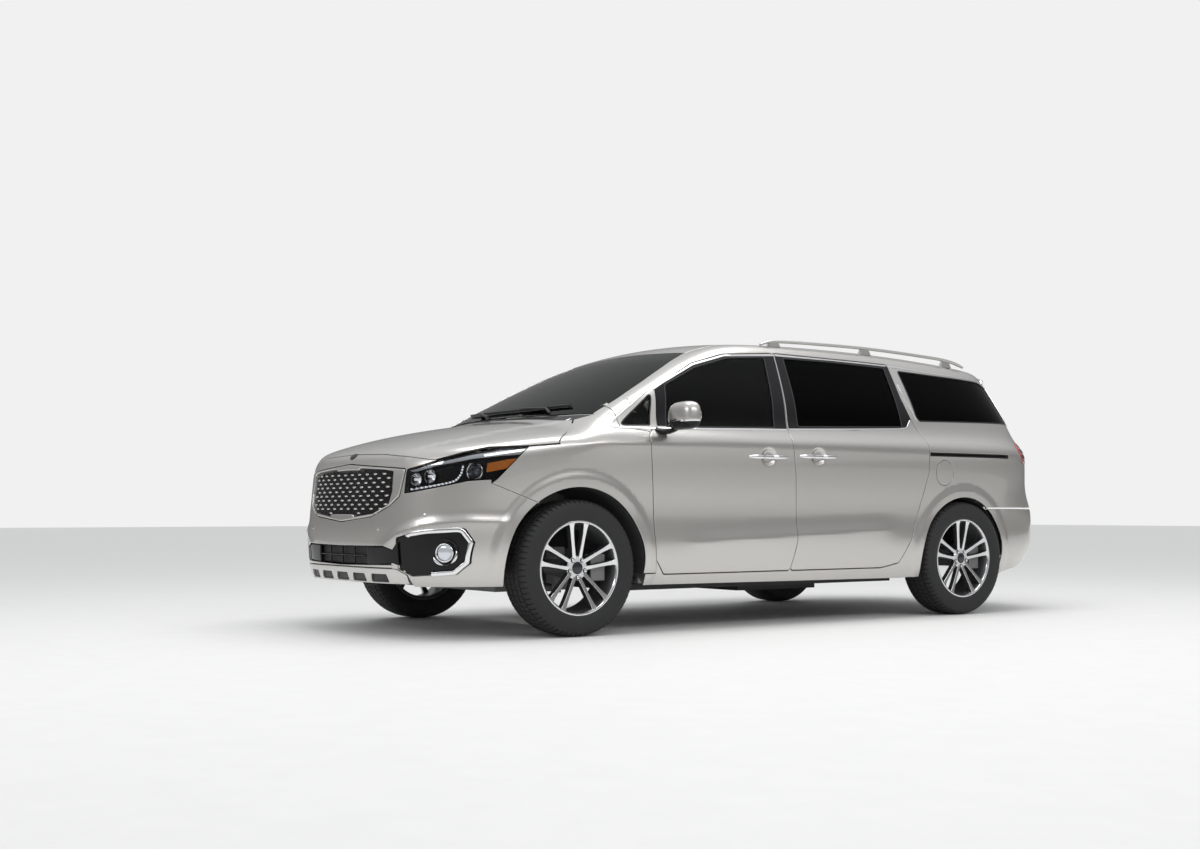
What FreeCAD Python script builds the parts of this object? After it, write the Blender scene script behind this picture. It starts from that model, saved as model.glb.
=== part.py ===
import FreeCAD, Part
import math
import os

V = FreeCAD.Vector

# Minivan: X forward, Y to the left, Z up, origin on the ground at mid length.
# Every size is in the sheet; outlines are shares of the half length, the half
# width and the body height, so that they follow the overall sizes.
SIZES = {
    "body_length": 5115.0,
    "body_width": 1985.0,
    "body_height": 1755.0,
    "front_axle_x": 1612.5,
    "rear_axle_x": -1447.5,
    "wheel_centre_z": 370.5,
    "front_track": 1735.0,
    "rear_track": 1742.0,
    "tyre_radius": 370.5,
    "tyre_width": 235.0,
    "rim_seat_radius": 241.3,
    "rim_width": 206.0,
    "rim_wall": 12.0,
    "rim_face_depth": 62.0,
    "hub_radius": 76.0,
    "spoke_tip_width": 24.0,
    "spoke_depth": 34.0,
    "disc_radius": 165.0,
    "disc_thickness": 28.0,
    "disc_inset": 30.0,
    "front_arch_radius": 434.0,
    "rear_arch_radius": 397.0,
    "arch_liner_wall": 4.0,
    "arch_liner_step": 5.0,
    "front_liner_inner_y": 520.0,
    "rear_liner_inner_y": 715.0,
    "shut_gap": 6.0,
    "seam_gap": 0.3,
    "fit_gap": 0.3,
    "overrun": 60.0,
    "door_thickness": 105.0,
    "frame_thickness": 42.0,
    "belt_height": 1150.0,
    "belt_blend": 80.0,
    "skin_thickness": 5.0,
    "bumper_thickness": 9.0,
    "hood_thickness": 24.0,
    "roof_thickness": 28.0,
    "tailgate_thickness": 60.0,
    "tailgate_frame": 34.0,
    "lamp_depth": 60.0,
    "glass_thickness": 5.0,
    "glass_inset": 4.0,
    "side_blend": 100.0,
    "front_blend": 110.0,
    "cowl_blend": 50.0,
    "roof_blend": 100.0,
    "floor_height": 262.0,
    "floor_thickness": 34.0,
    "floor_half_width": 772.5,
    "firewall_half_width": 760.0,
    "firewall_x": 1130.0,
    "firewall_thickness": 35.0,
    "rail_outer_y": 519.7,
    "rail_width": 70.0,
    "rail_height": 110.0,
    "rail_centre_z": 520.0,
    "hood_axis_x": 1450.0,
    "hood_axis_z": 1199.0,
    "post_depth": 50.0,
    "grille_recess": 10.0,
    "grille_plate": 12.0,
    "grille_frame": 20.0,
    "fog_recess": 24.0,
    "fog_x": 2320.0,
    "fog_y": 772.0,
    "fog_z": 459.0,
    "fog_radius": 49.0,
    "fog_length": 90.0,
    "tail_lamp_depth": 40.0,
    "cowl_recess": 10.0,
    "cowl_thickness": 16.0,
    "panel_corner": 24.0,
    "window_corner": 14.0,
    "headlamp_inner_y": 581.0,
    "rear_bumper_top": 696.0,
    "rear_bumper_front_x": -1640.0,
    "sill_front_x": 1165.0,
    "flap_x": -1250.0,
    "flap_z": 927.0,
    "flap_radius": 82.0,
    "flap_thickness": 10.0,
    "flap_root_y": 916.0,
    "flap_pin_ahead": 114.0,
    "slot_rear_x": -1917.0,
    "slot_front_x": -1098.0,
    "slot_root_y": 962.0,
    "slot_z": 1045.0,
    "slot_height": 24.0,
    "bumper_bottom": 276.0,
    "skid_bottom": 286.0,
    "handle_radius": 11.0,
    "handle_y": 1010.0,
    "handle_root": 34.0,
    "handle_length": 305.0,
    "front_handle_x": 428.0,
    "front_handle_z": 995.0,
    "sliding_handle_x": 28.0,
    "sliding_handle_z": 1007.0,
    "mirror_x": 1010.0,
    "mirror_y": 1115.0,
    "mirror_z": 1205.0,
    "mirror_depth": 130.0,
    "mirror_width": 220.0,
    "mirror_height": 160.0,
    "mirror_round": 40.0,
    "mirror_foot_ahead": 60.0,
    "mirror_foot_y": 930.0,
    "mirror_foot_z": 1115.0,
    "mirror_foot_radius": 26.0,
    "liner_bottom_z": 330.0,
    "front_liner_outer_y": 992.0,
    "rear_liner_outer_y": 940.0,
    "rear_floor_half_width": 714.7,
    "rear_floor_height": 454.0,
    "kick_up_x": -930.0,
    "floor_rear_x": -2330.0,
    "firewall_top": 1080.0,
    "rail_front_x": 2400.0,
    "dash_half_width": 780.0,
    "dash_round": 30.0,
    "console_rear_x": 180.0,
    "console_front_x": 860.0,
    "console_half_width": 110.0,
    "console_height": 640.0,
    "column_tilt_deg": 24.0,
    "column_start": 60.0,
    "column_end": 330.0,
    "column_radius": 36.0,
    "steering_x": 560.0,
    "steering_y": 380.0,
    "steering_z": 990.0,
    "steering_radius": 180.0,
    "steering_grip": 15.0,
    "steering_hub_radius": 62.0,
    "seat_round": 38.0,
    "seat_length": 500.0,
    "seat_height": 330.0,
    "cushion_thickness": 150.0,
    "back_thickness": 130.0,
    "back_height": 560.0,
    "back_lean_deg": 14.0,
    "rest_width": 250.0,
    "rest_height": 180.0,
    "front_seat_x": -30.0,
    "front_seat_y": 375.0,
    "front_seat_width": 500.0,
    "middle_seat_x": -770.0,
    "rear_seat_x": -1720.0,
    "rear_bench_width": 1200.0,
    "engine_x0": 1330.0,
    "engine_x1": 1880.0,
    "engine_half_width": 400.0,
    "engine_z1": 960.0,
    "tank_x0": -500.0,
    "tank_x1": 150.0,
    "tank_y0": -60.0,
    "tank_y1": 560.0,
    "tank_depth": 40.0,
    "exhaust_y": -330.0,
    "exhaust_z": 300.0,
    "muffler_x0": -2250.0,
    "muffler_x1": -1850.0,
    "muffler_radius": 80.0,
    "exhaust_front_x": -1700.0,
    "exhaust_rear_x": -2330.0,
    "exhaust_radius": 28.0,
    "knuckle_inner_y": 690.0,
    "knuckle_outer_y": 772.0,
    "upright_height": 110.0,
    "arm_radius": 20.0,
    "subframe_z": 230.0,
    "subframe_height": 50.0,
    "subframe_length": 520.0,
    "trailing_arm_y": 600.0,
    "trailing_front_x": -1000.0,
    "beam_radius": 36.0,
    "tyre_shoulder": 22.0,
    "hub_sink": 18.0,
    "spoke_spread_deg": 17.0,
    "spoke_root_share": 0.62,
    "roof_rail_y": 655.0,
    "roof_rail_radius": 14.0,
    "rail_stand_height": 90.0,
    "flap_neck_thickness": 4.0,
    "flap_neck_back": 10.0,
    "flap_neck_depth": 40.0,
    "flap_neck_run": 40.0,
    "flap_neck_reach": 64.0,
    "flap_chamber_y": 978.0,
    "gate_top_gap": 8.0,
    "rear_knuckle_inner_y": 722.0,
    "roller_rear_x": -1160.0,
    "roller_front_x": -1060.0,
    "roller_outer_y": 978.0,
    "roller_height": 16.0,
    "door_axis_x": 1208.0,
    "door_axis_y": 967.0,
    "door_pin_radius": 4.0,
    "door_eye_radius": 7.0,
    "hinge_arm_thickness": 8.0,
    "hinge_arm_height": 24.0,
    "hinge_leaf_thickness": 6.0,
    "hinge_neck_x": 1131.0,
    "hinge_neck_y": 896.0,
    "hinge_bend_x": 1172.0,
    "hinge_bend_y": 884.0,
    "hinge_foot_x": 1080.0,
    "upper_hinge_z": 980.0,
    "lower_hinge_z": 800.0,
    "hinge_post_rear_x": 1035.0,
    "hinge_post_front_x": 1125.0,
    "hinge_post_inner_y": 782.0,
    "hinge_post_top_z": 1170.0,
    "hinge_post_y": 842.0,
    "flap_pin_y": 968.0,
    "flap_eye_radius": 4.5,
    "flap_eye_height": 14.0,
    "flap_pin_radius": 2.0,
    "flap_skin_y": 984.0,
    "gate_axis_x": -2042.0,
    "gate_axis_z": 1648.0,
    "gate_pin_radius": 4.0,
    "gate_eye_radius": 8.0,
    "gate_eye_width": 22.0,
    "gate_hinge_y": 300.0,
    "gate_neck_length": 44.0,
    "hood_pin_radius": 4.0,
    "hood_eye_radius": 8.0,
    "hood_arm_width": 12.0,
    "hood_hinge_y": 680.0,
    "hood_arm_length": 110.0,
    "hood_arm_drop": 48.0,
    "fog_rim": 14.0,
    "intake_rim": 8.0,
    "kingpin_y": 740.0,
    "ball_radius": 26.0,
    "caliper_wall": 16.0,
    "caliper_outer": 196.0,
    "caliper_inner": 104.0,
    "caliper_half_height": 72.0,
    "disc_clearance": 3.0,
    "bearing_share": 0.72,
}

doc = FreeCAD.newDocument("minivan")
sheet = doc.addObject("Spreadsheet::Sheet", "sizes")
for row, (alias, number) in enumerate(SIZES.items(), start=1):
    sheet.set("A%d" % row, alias)
    sheet.set("B%d" % row, str(number))
    sheet.setAlias("B%d" % row, alias)
doc.recompute()


def size(name):
    return float(sheet.get(name))


half_length = size("body_length") / 2
half_width = size("body_width") / 2
height = size("body_height")
over = size("overrun")
fit = size("fit_gap")
shut = size("shut_gap")
seam = size("seam_gap")


# Body form: side section, nose and tail lines, hood and roof lines
class Curve:
    """A natural cubic spline through hand-picked shares."""

    def __init__(self, shares):
        shares = sorted(shares)
        self.at = [p[0] for p in shares]
        self.val = [p[1] for p in shares]
        n = len(shares)
        step = [self.at[i + 1] - self.at[i] for i in range(n - 1)]
        rise = [(self.val[i + 1] - self.val[i]) / step[i] for i in range(n - 1)]
        diag = [1.0] * n
        upper = [0.0] * n
        right = [0.0] * n
        for i in range(1, n - 1):
            diag[i] = 2 * (step[i - 1] + step[i]) - step[i - 1] * upper[i - 1]
            upper[i] = step[i] / diag[i]
            right[i] = (6 * (rise[i] - rise[i - 1]) - step[i - 1] * right[i - 1]) / diag[i]
        bend = [0.0] * n
        for i in range(n - 2, 0, -1):
            bend[i] = right[i] - upper[i] * bend[i + 1]
        self.bend = bend

    def __call__(self, a):
        at = self.at
        a = min(max(a, at[0]), at[-1])
        i = 0
        while i < len(at) - 2 and a > at[i + 1]:
            i += 1
        gap = at[i + 1] - at[i]
        p = (at[i + 1] - a) / gap
        q = 1 - p
        curl = ((p ** 3 - p) * self.bend[i] + (q ** 3 - q) * self.bend[i + 1]) * gap * gap / 6
        return p * self.val[i] + q * self.val[i + 1] + curl


# Height share, then x share of the half length
nose_shares = [
    (0.114, 0.9658), (0.1538, 0.9873), (0.2051, 0.9978), (0.2849, 1), (0.3533, 0.9982),
    (0.4558, 0.99), (0.5413, 0.9814), (0.6268, 0.9697),
]
tail_shares = [
    (0.114, 0.9228), (0.1595, 0.9541), (0.2279, 0.9892), (0.3134, 0.999), (0.3761, 1),
    (0.4103, 0.9912), (0.4558, 0.9756), (0.5413, 0.9677), (0.5983, 0.9638),
    (0.6838, 0.9443), (0.7977, 0.911), (0.9117, 0.8778), (1.0256, 0.8446),
]
# Height share, then y share of the half width
side_shares = [
    (0.0912, 0.8917), (0.1425, 0.932), (0.188, 0.9622), (0.2393, 0.9824),
    (0.2849, 0.9884), (0.3533, 0.9834), (0.4558, 0.9909), (0.5413, 0.998), (0.5869, 1),
    (0.6211, 0.9924), (0.6553, 0.9521), (0.7293, 0.9018), (0.8262, 0.8312),
    (0.9117, 0.7537), (1.0256, 0.6448),
]
# x share, then height share, along the centre line
hood_shares = [
    (0.5943, 0.6855), (0.6452, 0.6764), (0.7234, 0.6598), (0.8016, 0.6393),
    (0.8798, 0.6125), (0.9462, 0.5783), (0.9853, 0.5442), (1.0166, 0.5071),
]
roof_shares = [
    (0.2737, 0.947), (0.176, 0.9721), (0.0587, 0.9863), (-0.1173, 0.9926),
    (-0.3128, 0.9903), (-0.5083, 0.9801), (-0.7038, 0.9618), (-0.8798, 0.9385),
    (-1.0166, 0.9117),
]
screen_foot_share = (0.6256, 0.6838)
screen_head_share = (0.2033, 0.9715)
screen_bulge_share = 0.14
screen_sweep_share = 0.077
hood_crown_shares = (0.0313, 0.7557)
screen_crown_shares = (0.0068, 0.7053)
roof_crown_shares = (0.0194, 0.6549)
plan_front_powers = (7.5, 3.2)
plan_rear_powers = (9.0, 3.0)
plan_floor_share = 0.794
taper_front_share = 0.035
taper_rear_share = 0.05
taper_start_shares = (0.598, 0.285)
taper_front_span_shares = (0.0782, 0.4692)
taper_rear_span_shares = (-0.2346, 0.6256)

nose_line = Curve(nose_shares)
tail_line = Curve(tail_shares)
side_line = Curve(side_shares)
hood_line = Curve(hood_shares)
roof_line = Curve(roof_shares)


def blend_max(a, b, radius):
    reach = max(radius - abs(a - b), 0.0) / radius
    return max(a, b) + reach ** 3 * radius / 6


def blend_min(a, b, radius):
    return -blend_max(-a, -b, radius)


def clamp(a, low, high):
    return min(max(a, low), high)


def top_height(x, y):
    """Height of hood, windscreen and roof above a point of the plan."""
    ay = abs(y) / half_width
    sx = x / half_length
    sag = hood_crown_shares[0] * (ay / hood_crown_shares[1]) ** 2.5
    hood = height * (hood_line(max(sx, hood_shares[0][0])) - sag)
    swept = sx + screen_sweep_share * ay ** 2
    rise = (screen_foot_share[0] - swept) / (screen_foot_share[0] - screen_head_share[0])
    climb = rise + screen_bulge_share * rise * (1 - rise)
    sag = screen_crown_shares[0] * (ay / screen_crown_shares[1]) ** 2
    screen = screen_foot_share[1] + (screen_head_share[1] - screen_foot_share[1]) * climb - sag
    if rise > 1.6:
        screen = 3.0
    sag = roof_crown_shares[0] * (ay / roof_crown_shares[1]) ** 2
    roof = height * (roof_line(sx) - sag)
    upper = blend_min(height * screen, roof, size_roof_blend)
    return blend_max(hood, upper, size_cowl_blend)


size_roof_blend = size("roof_blend")
size_cowl_blend = size("cowl_blend")
size_side_blend = size("side_blend")
size_front_blend = size("front_blend")


def body_form(x, y, z):
    """Below zero inside the body, above zero outside, zero on its skin."""
    sz = clamp(z / height, side_shares[0][0], side_shares[-1][0])
    up = clamp((sz - taper_start_shares[0]) / taper_start_shares[1], 0, 1)
    ahead = clamp((x / half_length - taper_front_span_shares[0]) / taper_front_span_shares[1], 0, 2)
    behind = clamp((taper_rear_span_shares[0] - x / half_length) / taper_rear_span_shares[1], 0, 2)
    taper = 1 - up * (taper_front_share * ahead ** 2 + taper_rear_share * behind ** 2)
    wide = half_width * side_line(sz) * taper
    front = x > 0
    line = nose_line if front else tail_line
    power_x, power_y = plan_front_powers if front else plan_rear_powers
    long = half_length * line(sz)
    ax = abs(x) / long
    ay = abs(y) / wide
    edge = ax ** power_x + ay ** power_y
    slope_x = power_x * ax ** (power_x - 1) / long
    slope_y = power_y * ay ** (power_y - 1) / wide
    plan = (edge - 1) / max(math.hypot(slope_x, slope_y), plan_floor_share / half_width)
    nudge = fit
    lean = (top_height(x + nudge, y) - top_height(x - nudge, y)) / (2 * nudge)
    top = (z - top_height(x, y)) / math.sqrt(1 + lean * lean)
    radius = size_front_blend if x > hood_blend_from_share * half_length else size_side_blend
    return blend_max(plan, top, radius)


hood_blend_from_share = 0.469
cast_reach_share = 0.85


def cast(origin, way):
    """Distance along a ray from inside the body to its skin."""
    near = 0.0
    far = cast_reach_share * half_length
    for _ in range(22):
        middle = (near + far) / 2
        if body_form(origin[0] + way[0] * middle, origin[1] + way[1] * middle,
                     origin[2] + way[2] * middle) < 0:
            near = middle
        else:
            far = middle
    return (near + far) / 2


def sweep(first, last, count):
    return [first + (last - first) * i / (count - 1) for i in range(count)]


def surface(rays, reach, inset):
    """A smooth surface through the skin, set in along each ray by inset(point)."""
    rows = []
    for ray_row, reach_row in zip(rays, reach):
        row = []
        for (origin, way), distance in zip(ray_row, reach_row):
            skin = [origin[k] + way[k] * distance for k in range(3)]
            depth = distance - inset(skin)
            row.append(V(*[origin[k] + way[k] * depth for k in range(3)]))
        rows.append(row)
    face = Part.BSplineSurface()
    face.interpolate(rows)
    return face


class Patch:
    """A region of the skin, met by a grid of rays from inside the body."""

    def __init__(self, rays):
        self.rays = rays
        self.reach = [[cast(o, w) for o, w in row] for row in rays]

    def slab(self, outer_inset, inner_inset):
        outer = surface(self.rays, self.reach, outer_inset)
        inner = surface(self.rays, self.reach, inner_inset)
        faces = [outer.toShape(), inner.toShape()]
        ou0, ou1, ov0, ov1 = outer.bounds()
        iu0, iu1, iv0, iv1 = inner.bounds()
        for a, b in ((ou0, iu0), (ou1, iu1)):
            faces.append(Part.makeRuledSurface(outer.uIso(a).toShape(), inner.uIso(b).toShape()))
        for a, b in ((ov0, iv0), (ov1, iv1)):
            faces.append(Part.makeRuledSurface(outer.vIso(a).toShape(), inner.vIso(b).toShape()))
        shell = Part.makeShell(faces)
        shell.sewShape()
        solid = Part.makeSolid(shell)
        if solid.Volume < 0:
            solid.reverse()
        return solid


def level(depth):
    return lambda point: depth


def section_rays(stations, angles, origin_y, origin_z):
    """Rays in upright planes: station (x, plan angle from +X), then elevation."""
    rays = []
    for x, plan in stations:
        row = []
        for angle in angles:
            flat = math.cos(angle)
            way = (flat * math.cos(plan), flat * math.sin(plan), math.sin(angle))
            row.append(((x, origin_y, origin_z), way))
        rays.append(row)
    return rays


def fan_rays(stations, angles, origin_z):
    """Rays across the car: station (x, tilt forward from +Z), then angle from +Y."""
    rays = []
    for x, tilt in stations:
        row = []
        for angle in angles:
            rise = math.sin(angle)
            way = (rise * math.sin(tilt), math.cos(angle), rise * math.cos(tilt))
            row.append(((x, 0.0, origin_z), way))
        rays.append(row)
    return rays


def radians(first, last, count):
    return [math.radians(a) for a in sweep(first, last, count)]


side_origin_shares = (0.30, 0.484)
side_start_share = 0.86
side_turn_share = -0.567
side_stations = [(x, math.pi / 2) for x in sweep(side_start_share * half_length,
                                                 side_turn_share * half_length, 40)]
side_stations += [(side_turn_share * half_length, a) for a in radians(94, 162, 18)]
side_patch = Patch(section_rays(side_stations, radians(-52, 68, 41),
                                side_origin_shares[0] * half_width,
                                side_origin_shares[1] * height))

nose_origin_shares = (0.587, 0.37)
nose_patch = Patch(section_rays([(nose_origin_shares[0] * half_length, a) for a in radians(-72, 72, 45)],
                                radians(-27, 27, 25), 0.0, nose_origin_shares[1] * height))

tail_origin_shares = (-0.567, 0.513)
tail_patch = Patch(section_rays([(tail_origin_shares[0] * half_length, a) for a in radians(105, 255, 49)],
                                radians(-36, 57, 37), 0.0, tail_origin_shares[1] * height))

hood_origin_share = 0.34
hood_stations = [(x * half_length, 0.0) for x in sweep(0.53, 0.80, 15)]
hood_stations += [(0.80 * half_length, math.radians(a)) for a in sweep(5, 62, 15)]
hood_patch = Patch(fan_rays(hood_stations, radians(18, 162, 41), hood_origin_share * height))

roof_origin_share = 0.484
roof_patch = Patch(fan_rays([(x * half_length, 0.0) for x in sweep(-0.90, 0.655, 48)],
                            radians(30, 150, 31), roof_origin_share * height))


# Outlines
def rounded(points, radius):
    """A closed wire through points (3-D), its corners rounded by one radius."""
    edges = []
    starts = []
    count = len(points)
    for i in range(count):
        before = points[i - 1]
        corner = points[i]
        after = points[(i + 1) % count]
        into = (before - corner)
        onto = (after - corner)
        angle = into.getAngle(onto)
        turn = math.pi - angle
        if radius <= 0 or turn < 0.02:
            starts.append((corner, None, corner))
            continue
        cutback = min(radius * math.tan(turn / 2), 0.45 * into.Length, 0.45 * onto.Length)
        actual = cutback / math.tan(turn / 2)
        into.normalize()
        onto.normalize()
        first = corner + into * cutback
        last = corner + onto * cutback
        inward = (into + onto).normalize()
        middle = corner + inward * (actual / math.cos(turn / 2) - actual)
        starts.append((first, middle, last))
    for i in range(count):
        first, middle, last = starts[i]
        if middle is not None:
            edges.append(Part.Arc(first, middle, last).toShape())
        following = starts[(i + 1) % count][0]
        if (following - last).Length > fit / 10:
            edges.append(Part.makeLine(last, following))
    return Part.Wire(edges)


def outline(points, radius, grow):
    wire = rounded(points, radius)
    if grow:
        wire = wire.makeOffset2D(grow)
    return Part.Face(wire)


def side_tool(shares, radius=0.0, grow=0.0, low=0.0, high=1.3):
    """A prism across the car, from an outline of (x share, height share)."""
    start = low * half_width
    points = [V(half_length * a, start, height * b) for a, b in shares]
    return outline(points, radius, grow).extrude(V(0, (high - low) * half_width, 0))


def plan_tool(shares, radius=0.0, grow=0.0, low=0.0, high=1.2):
    """An upright prism, from an outline of (x share, y share)."""
    points = [V(half_length * a, half_width * b, low * height) for a, b in shares]
    return outline(points, radius, grow).extrude(V(0, 0, (high - low) * height))


def front_tool(shares, radius=0.0, grow=0.0, low=0.4, high=1.2):
    """A prism along the car, from an outline of (y share, height share)."""
    points = [V(low * half_length, half_width * a, height * b) for a, b in shares]
    return outline(points, radius, grow).extrude(V((high - low) * half_length, 0, 0))


def both_sides(shares):
    """Completes the left half of an outline (y first) with its mirror image."""
    return list(shares) + [(-a, b) for a, b in reversed(shares) if abs(a) > 0.001]


def mirrored(shape):
    return shape.mirror(V(0, 0, 0), V(0, 1, 0))


def feature(label, shape):
    item = doc.addObject("Part::Feature", label)
    item.Label = label
    item.Shape = shape
    return item


def pair(label, shape):
    feature(label + "_left", shape)
    feature(label + "_right", mirrored(shape))


def couple(shape):
    return Part.makeCompound(solids_of(shape) + solids_of(mirrored(shape)))


def solids_of(shape):
    small = (size("overrun") / 6) ** 3
    return [s for s in shape.Solids if s.Volume > small]


def main_solid(shape):
    return max(shape.Solids, key=lambda s: s.Volume)


# Panel outlines seen from the left side: (x share, height share)
front_edge_shares = [
    (0.4289, 0.2319), (0.4344, 0.3231), (0.4399, 0.4507), (0.4461, 0.5601),
    (0.45, 0.6188), (0.4379, 0.6427), (0.4152, 0.6553), (0.3949, 0.7875),
]
door_line_shares = [
    (0.0012, 0.9402), (0.0282, 0.6655), (0.0328, 0.6222), (0.0219, 0.5145),
    (0.0164, 0.3778), (0.0164, 0.2798), (0.0293, 0.1835),
]
front_door_shares = front_edge_shares + [(0.2651, 0.8821), (0.1642, 0.9219)] + door_line_shares + [(0.4027, 0.1835)]
sliding_door_shares = door_line_shares + [
    (-0.2737, 0.1835), (-0.3324, 0.1994), (-0.3703, 0.2838), (-0.4047, 0.4194),
    (-0.4301, 0.5242), (-0.4321, 0.6439), (-0.4027, 0.7236), (-0.3871, 0.7977),
    (-0.3851, 0.9311), (-0.2874, 0.9345),
]
front_window_shares = [
    (0.391, 0.657), (0.3656, 0.7989), (0.2616, 0.8672), (0.156, 0.9088),
    (0.0364, 0.9214), (0.0688, 0.6701),
]
sliding_window_shares = [
    (-0.0066, 0.6764), (-0.0246, 0.9236), (-0.1955, 0.9231), (-0.3664, 0.9168),
    (-0.364, 0.6929),
]
quarter_window_shares = [
    (-0.4152, 0.9088), (-0.4242, 0.735), (-0.434, 0.7191), (-0.8407, 0.7316),
    (-0.8055, 0.8746), (-0.7546, 0.8923), (-0.549, 0.9014),
]
vent_window_shares = [(0.5181, 0.657), (0.4098, 0.7704), (0.4348, 0.661)]
fender_shares = [
    (0.4242, 0.188), (0.4289, 0.2319), (0.4344, 0.3231), (0.4399, 0.4507),
    (0.4461, 0.5601), (0.45, 0.6188), (0.4418, 0.6393), (0.5169, 0.653),
    (0.5169, 0.7578), (0.6647, 0.7578), (0.7351, 0.5829), (0.7496, 0.5795),
    (0.7867, 0.5276), (0.8176, 0.4815), (0.8285, 0.4689), (0.7281, 0.4108),
    (0.6303, 0.2108), (0.4848, 0.188),
]
headlamp_shares = [
    (1.0166, 0.5014), (0.9576, 0.5117), (0.92, 0.5362), (0.863, 0.559), (0.8086, 0.5732),
    (0.7496, 0.5795), (0.7867, 0.5276), (0.8176, 0.4815), (0.8751, 0.4752),
    (0.9228, 0.457), (0.9674, 0.4393), (1.0166, 0.4274),
]
hood_side_shares = [
    (0.4692, 0.5869), (0.6788, 0.5915), (0.7496, 0.5829), (0.8285, 0.5766),
    (0.8759, 0.5607), (0.9236, 0.5379), (1.0166, 0.5014), (1.0166, 0.8547),
    (0.4692, 0.8547),
]
tail_lamp_shares = [
    (-0.8102, 0.6313), (-0.8364, 0.661), (-0.9462, 0.6627), (-0.9462, 0.5664),
    (-0.8313, 0.5778),
]
sill_cut_shares = [
    (0.5865, 0.057), (0.5865, 0.1493), (0.4848, 0.1493), (-0.3519, 0.1425),
    (-0.4301, 0.1607), (-0.7038, 0.1425), (-1.0166, 0.1425), (-1.0166, 0.057),
]
rear_cut_shares = [
    (-0.6256, 0.057), (-0.6256, 0.1425), (-0.7288, 0.1459), (-0.8235, 0.1675),
    (-0.9024, 0.1994), (-1.0557, 0.2023), (-1.0557, 0.057),
]
pillar_post_shares = [
    (-0.0078, 0.114), (-0.0078, 0.6268), (-0.0274, 0.9801), (0.0235, 0.9801),
    (0.0508, 0.6268), (0.0508, 0.114),
]
# Seen from above, left half: (x share, y share)
screen_half_shares = [
    (0.6061, 0.0), (0.5982, 0.3023), (0.5767, 0.5642), (0.5474, 0.796), (0.4817, 0.7859),
    (0.4027, 0.7436), (0.3265, 0.6851), (0.2346, 0.5945), (0.2444, 0.3023),
    (0.2471, 0.0),
]
cowl_half_shares = [
    (0.6303, 0.0), (0.6225, 0.3023), (0.6006, 0.6045), (0.581, 0.7385), (0.5521, 0.8121),
    (0.5474, 0.796), (0.5767, 0.5642), (0.5982, 0.3023), (0.6061, 0.0),
]
cowl_zone_half_shares = [
    (0.6413, 0.0), (0.5838, 0.7385), (0.5521, 0.8121), (0.5083, 0.0),
]
hood_half_shares = [
    (0.6334, 0.0), (0.6256, 0.3023), (0.6041, 0.6045), (0.5838, 0.7385), (0.637, 0.8927),
    (0.6788, 0.9683), (0.7038, 1.1083), (1.0557, 1.1083), (1.0557, 0.0),
]
roof_half_shares = [
    (0.2463, 0.0), (0.2436, 0.3023), (0.2323, 0.6055), (-0.8063, 0.6055),
    (-0.8082, 0.3023), (-0.8094, 0.0),
]
# Seen from the front or the rear, left half: (y share, height share)
hood_front_shares = [
    (0.0, 0.5658), (0.3506, 0.5607), (0.5602, 0.5504), (0.7204, 0.539), (0.806, 0.5328),
    (1.3098, 0.5128), (1.3098, 0.8547), (0.0, 0.8547),
]
grille_half_shares = [
    (0.0, 0.5356), (0.4474, 0.5202), (0.5804, 0.5145), (0.5562, 0.4302), (0.4907, 0.4),
    (0.3446, 0.3687), (0.0, 0.3521),
]
intake_half_shares = [(0.0, 0.2781), (0.4584, 0.2803), (0.539, 0.2678), (0.539, 0.2245), (0.0, 0.2188)]
skid_half_shares = [(0.0, 0.2142), (0.5431, 0.2137), (0.6106, 0.1937), (0.6106, 0.114), (0.0, 0.114)]
fog_shares = [
    (0.5592, 0.3054), (0.7174, 0.3293), (0.8514, 0.3356), (0.8736, 0.294),
    (0.8584, 0.2313), (0.8131, 0.1977), (0.6358, 0.1909), (0.5612, 0.2131),
]
tailgate_half_shares = [
    (0.0, 0.4), (0.6448, 0.4), (0.7204, 0.433), (0.7809, 0.5413), (0.796, 0.661),
    (0.7204, 0.7407), (0.6045, 0.8775), (0.5965, 1.0826), (0.0, 1.0826),
]
rear_window_half_shares = [(0.0, 0.6866), (0.6599, 0.6866), (0.5491, 0.8718), (0.0, 0.8821)]


def around(half):
    """A closed plan outline from its left half, (x, y) points."""
    return list(half) + [(a, -b) for a, b in reversed(half) if abs(b) > 0.001]


def smooth(share):
    share = clamp(share, 0, 1)
    return share * share * (3 - 2 * share)


def door_depth(point):
    """Thickness of a whole door: a deep body below the belt, a slim frame above."""
    above = smooth((point[2] - size("belt_height")) / size("belt_blend") + 0.5)
    return size("door_thickness") * (1 - above) + size("frame_thickness") * above


def gate_depth(point):
    above = smooth((point[2] - size("belt_height")) / size("belt_blend") + 0.5)
    return size("tailgate_thickness") * (1 - above) + size("tailgate_frame") * above


post_depth_value = size("post_depth")


def post_start(point):
    return door_depth(point) + shut


def post_end(point):
    return door_depth(point) + post_depth_value


def wall_end(point):
    return door_depth(point) + post_depth_value + seam


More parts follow.
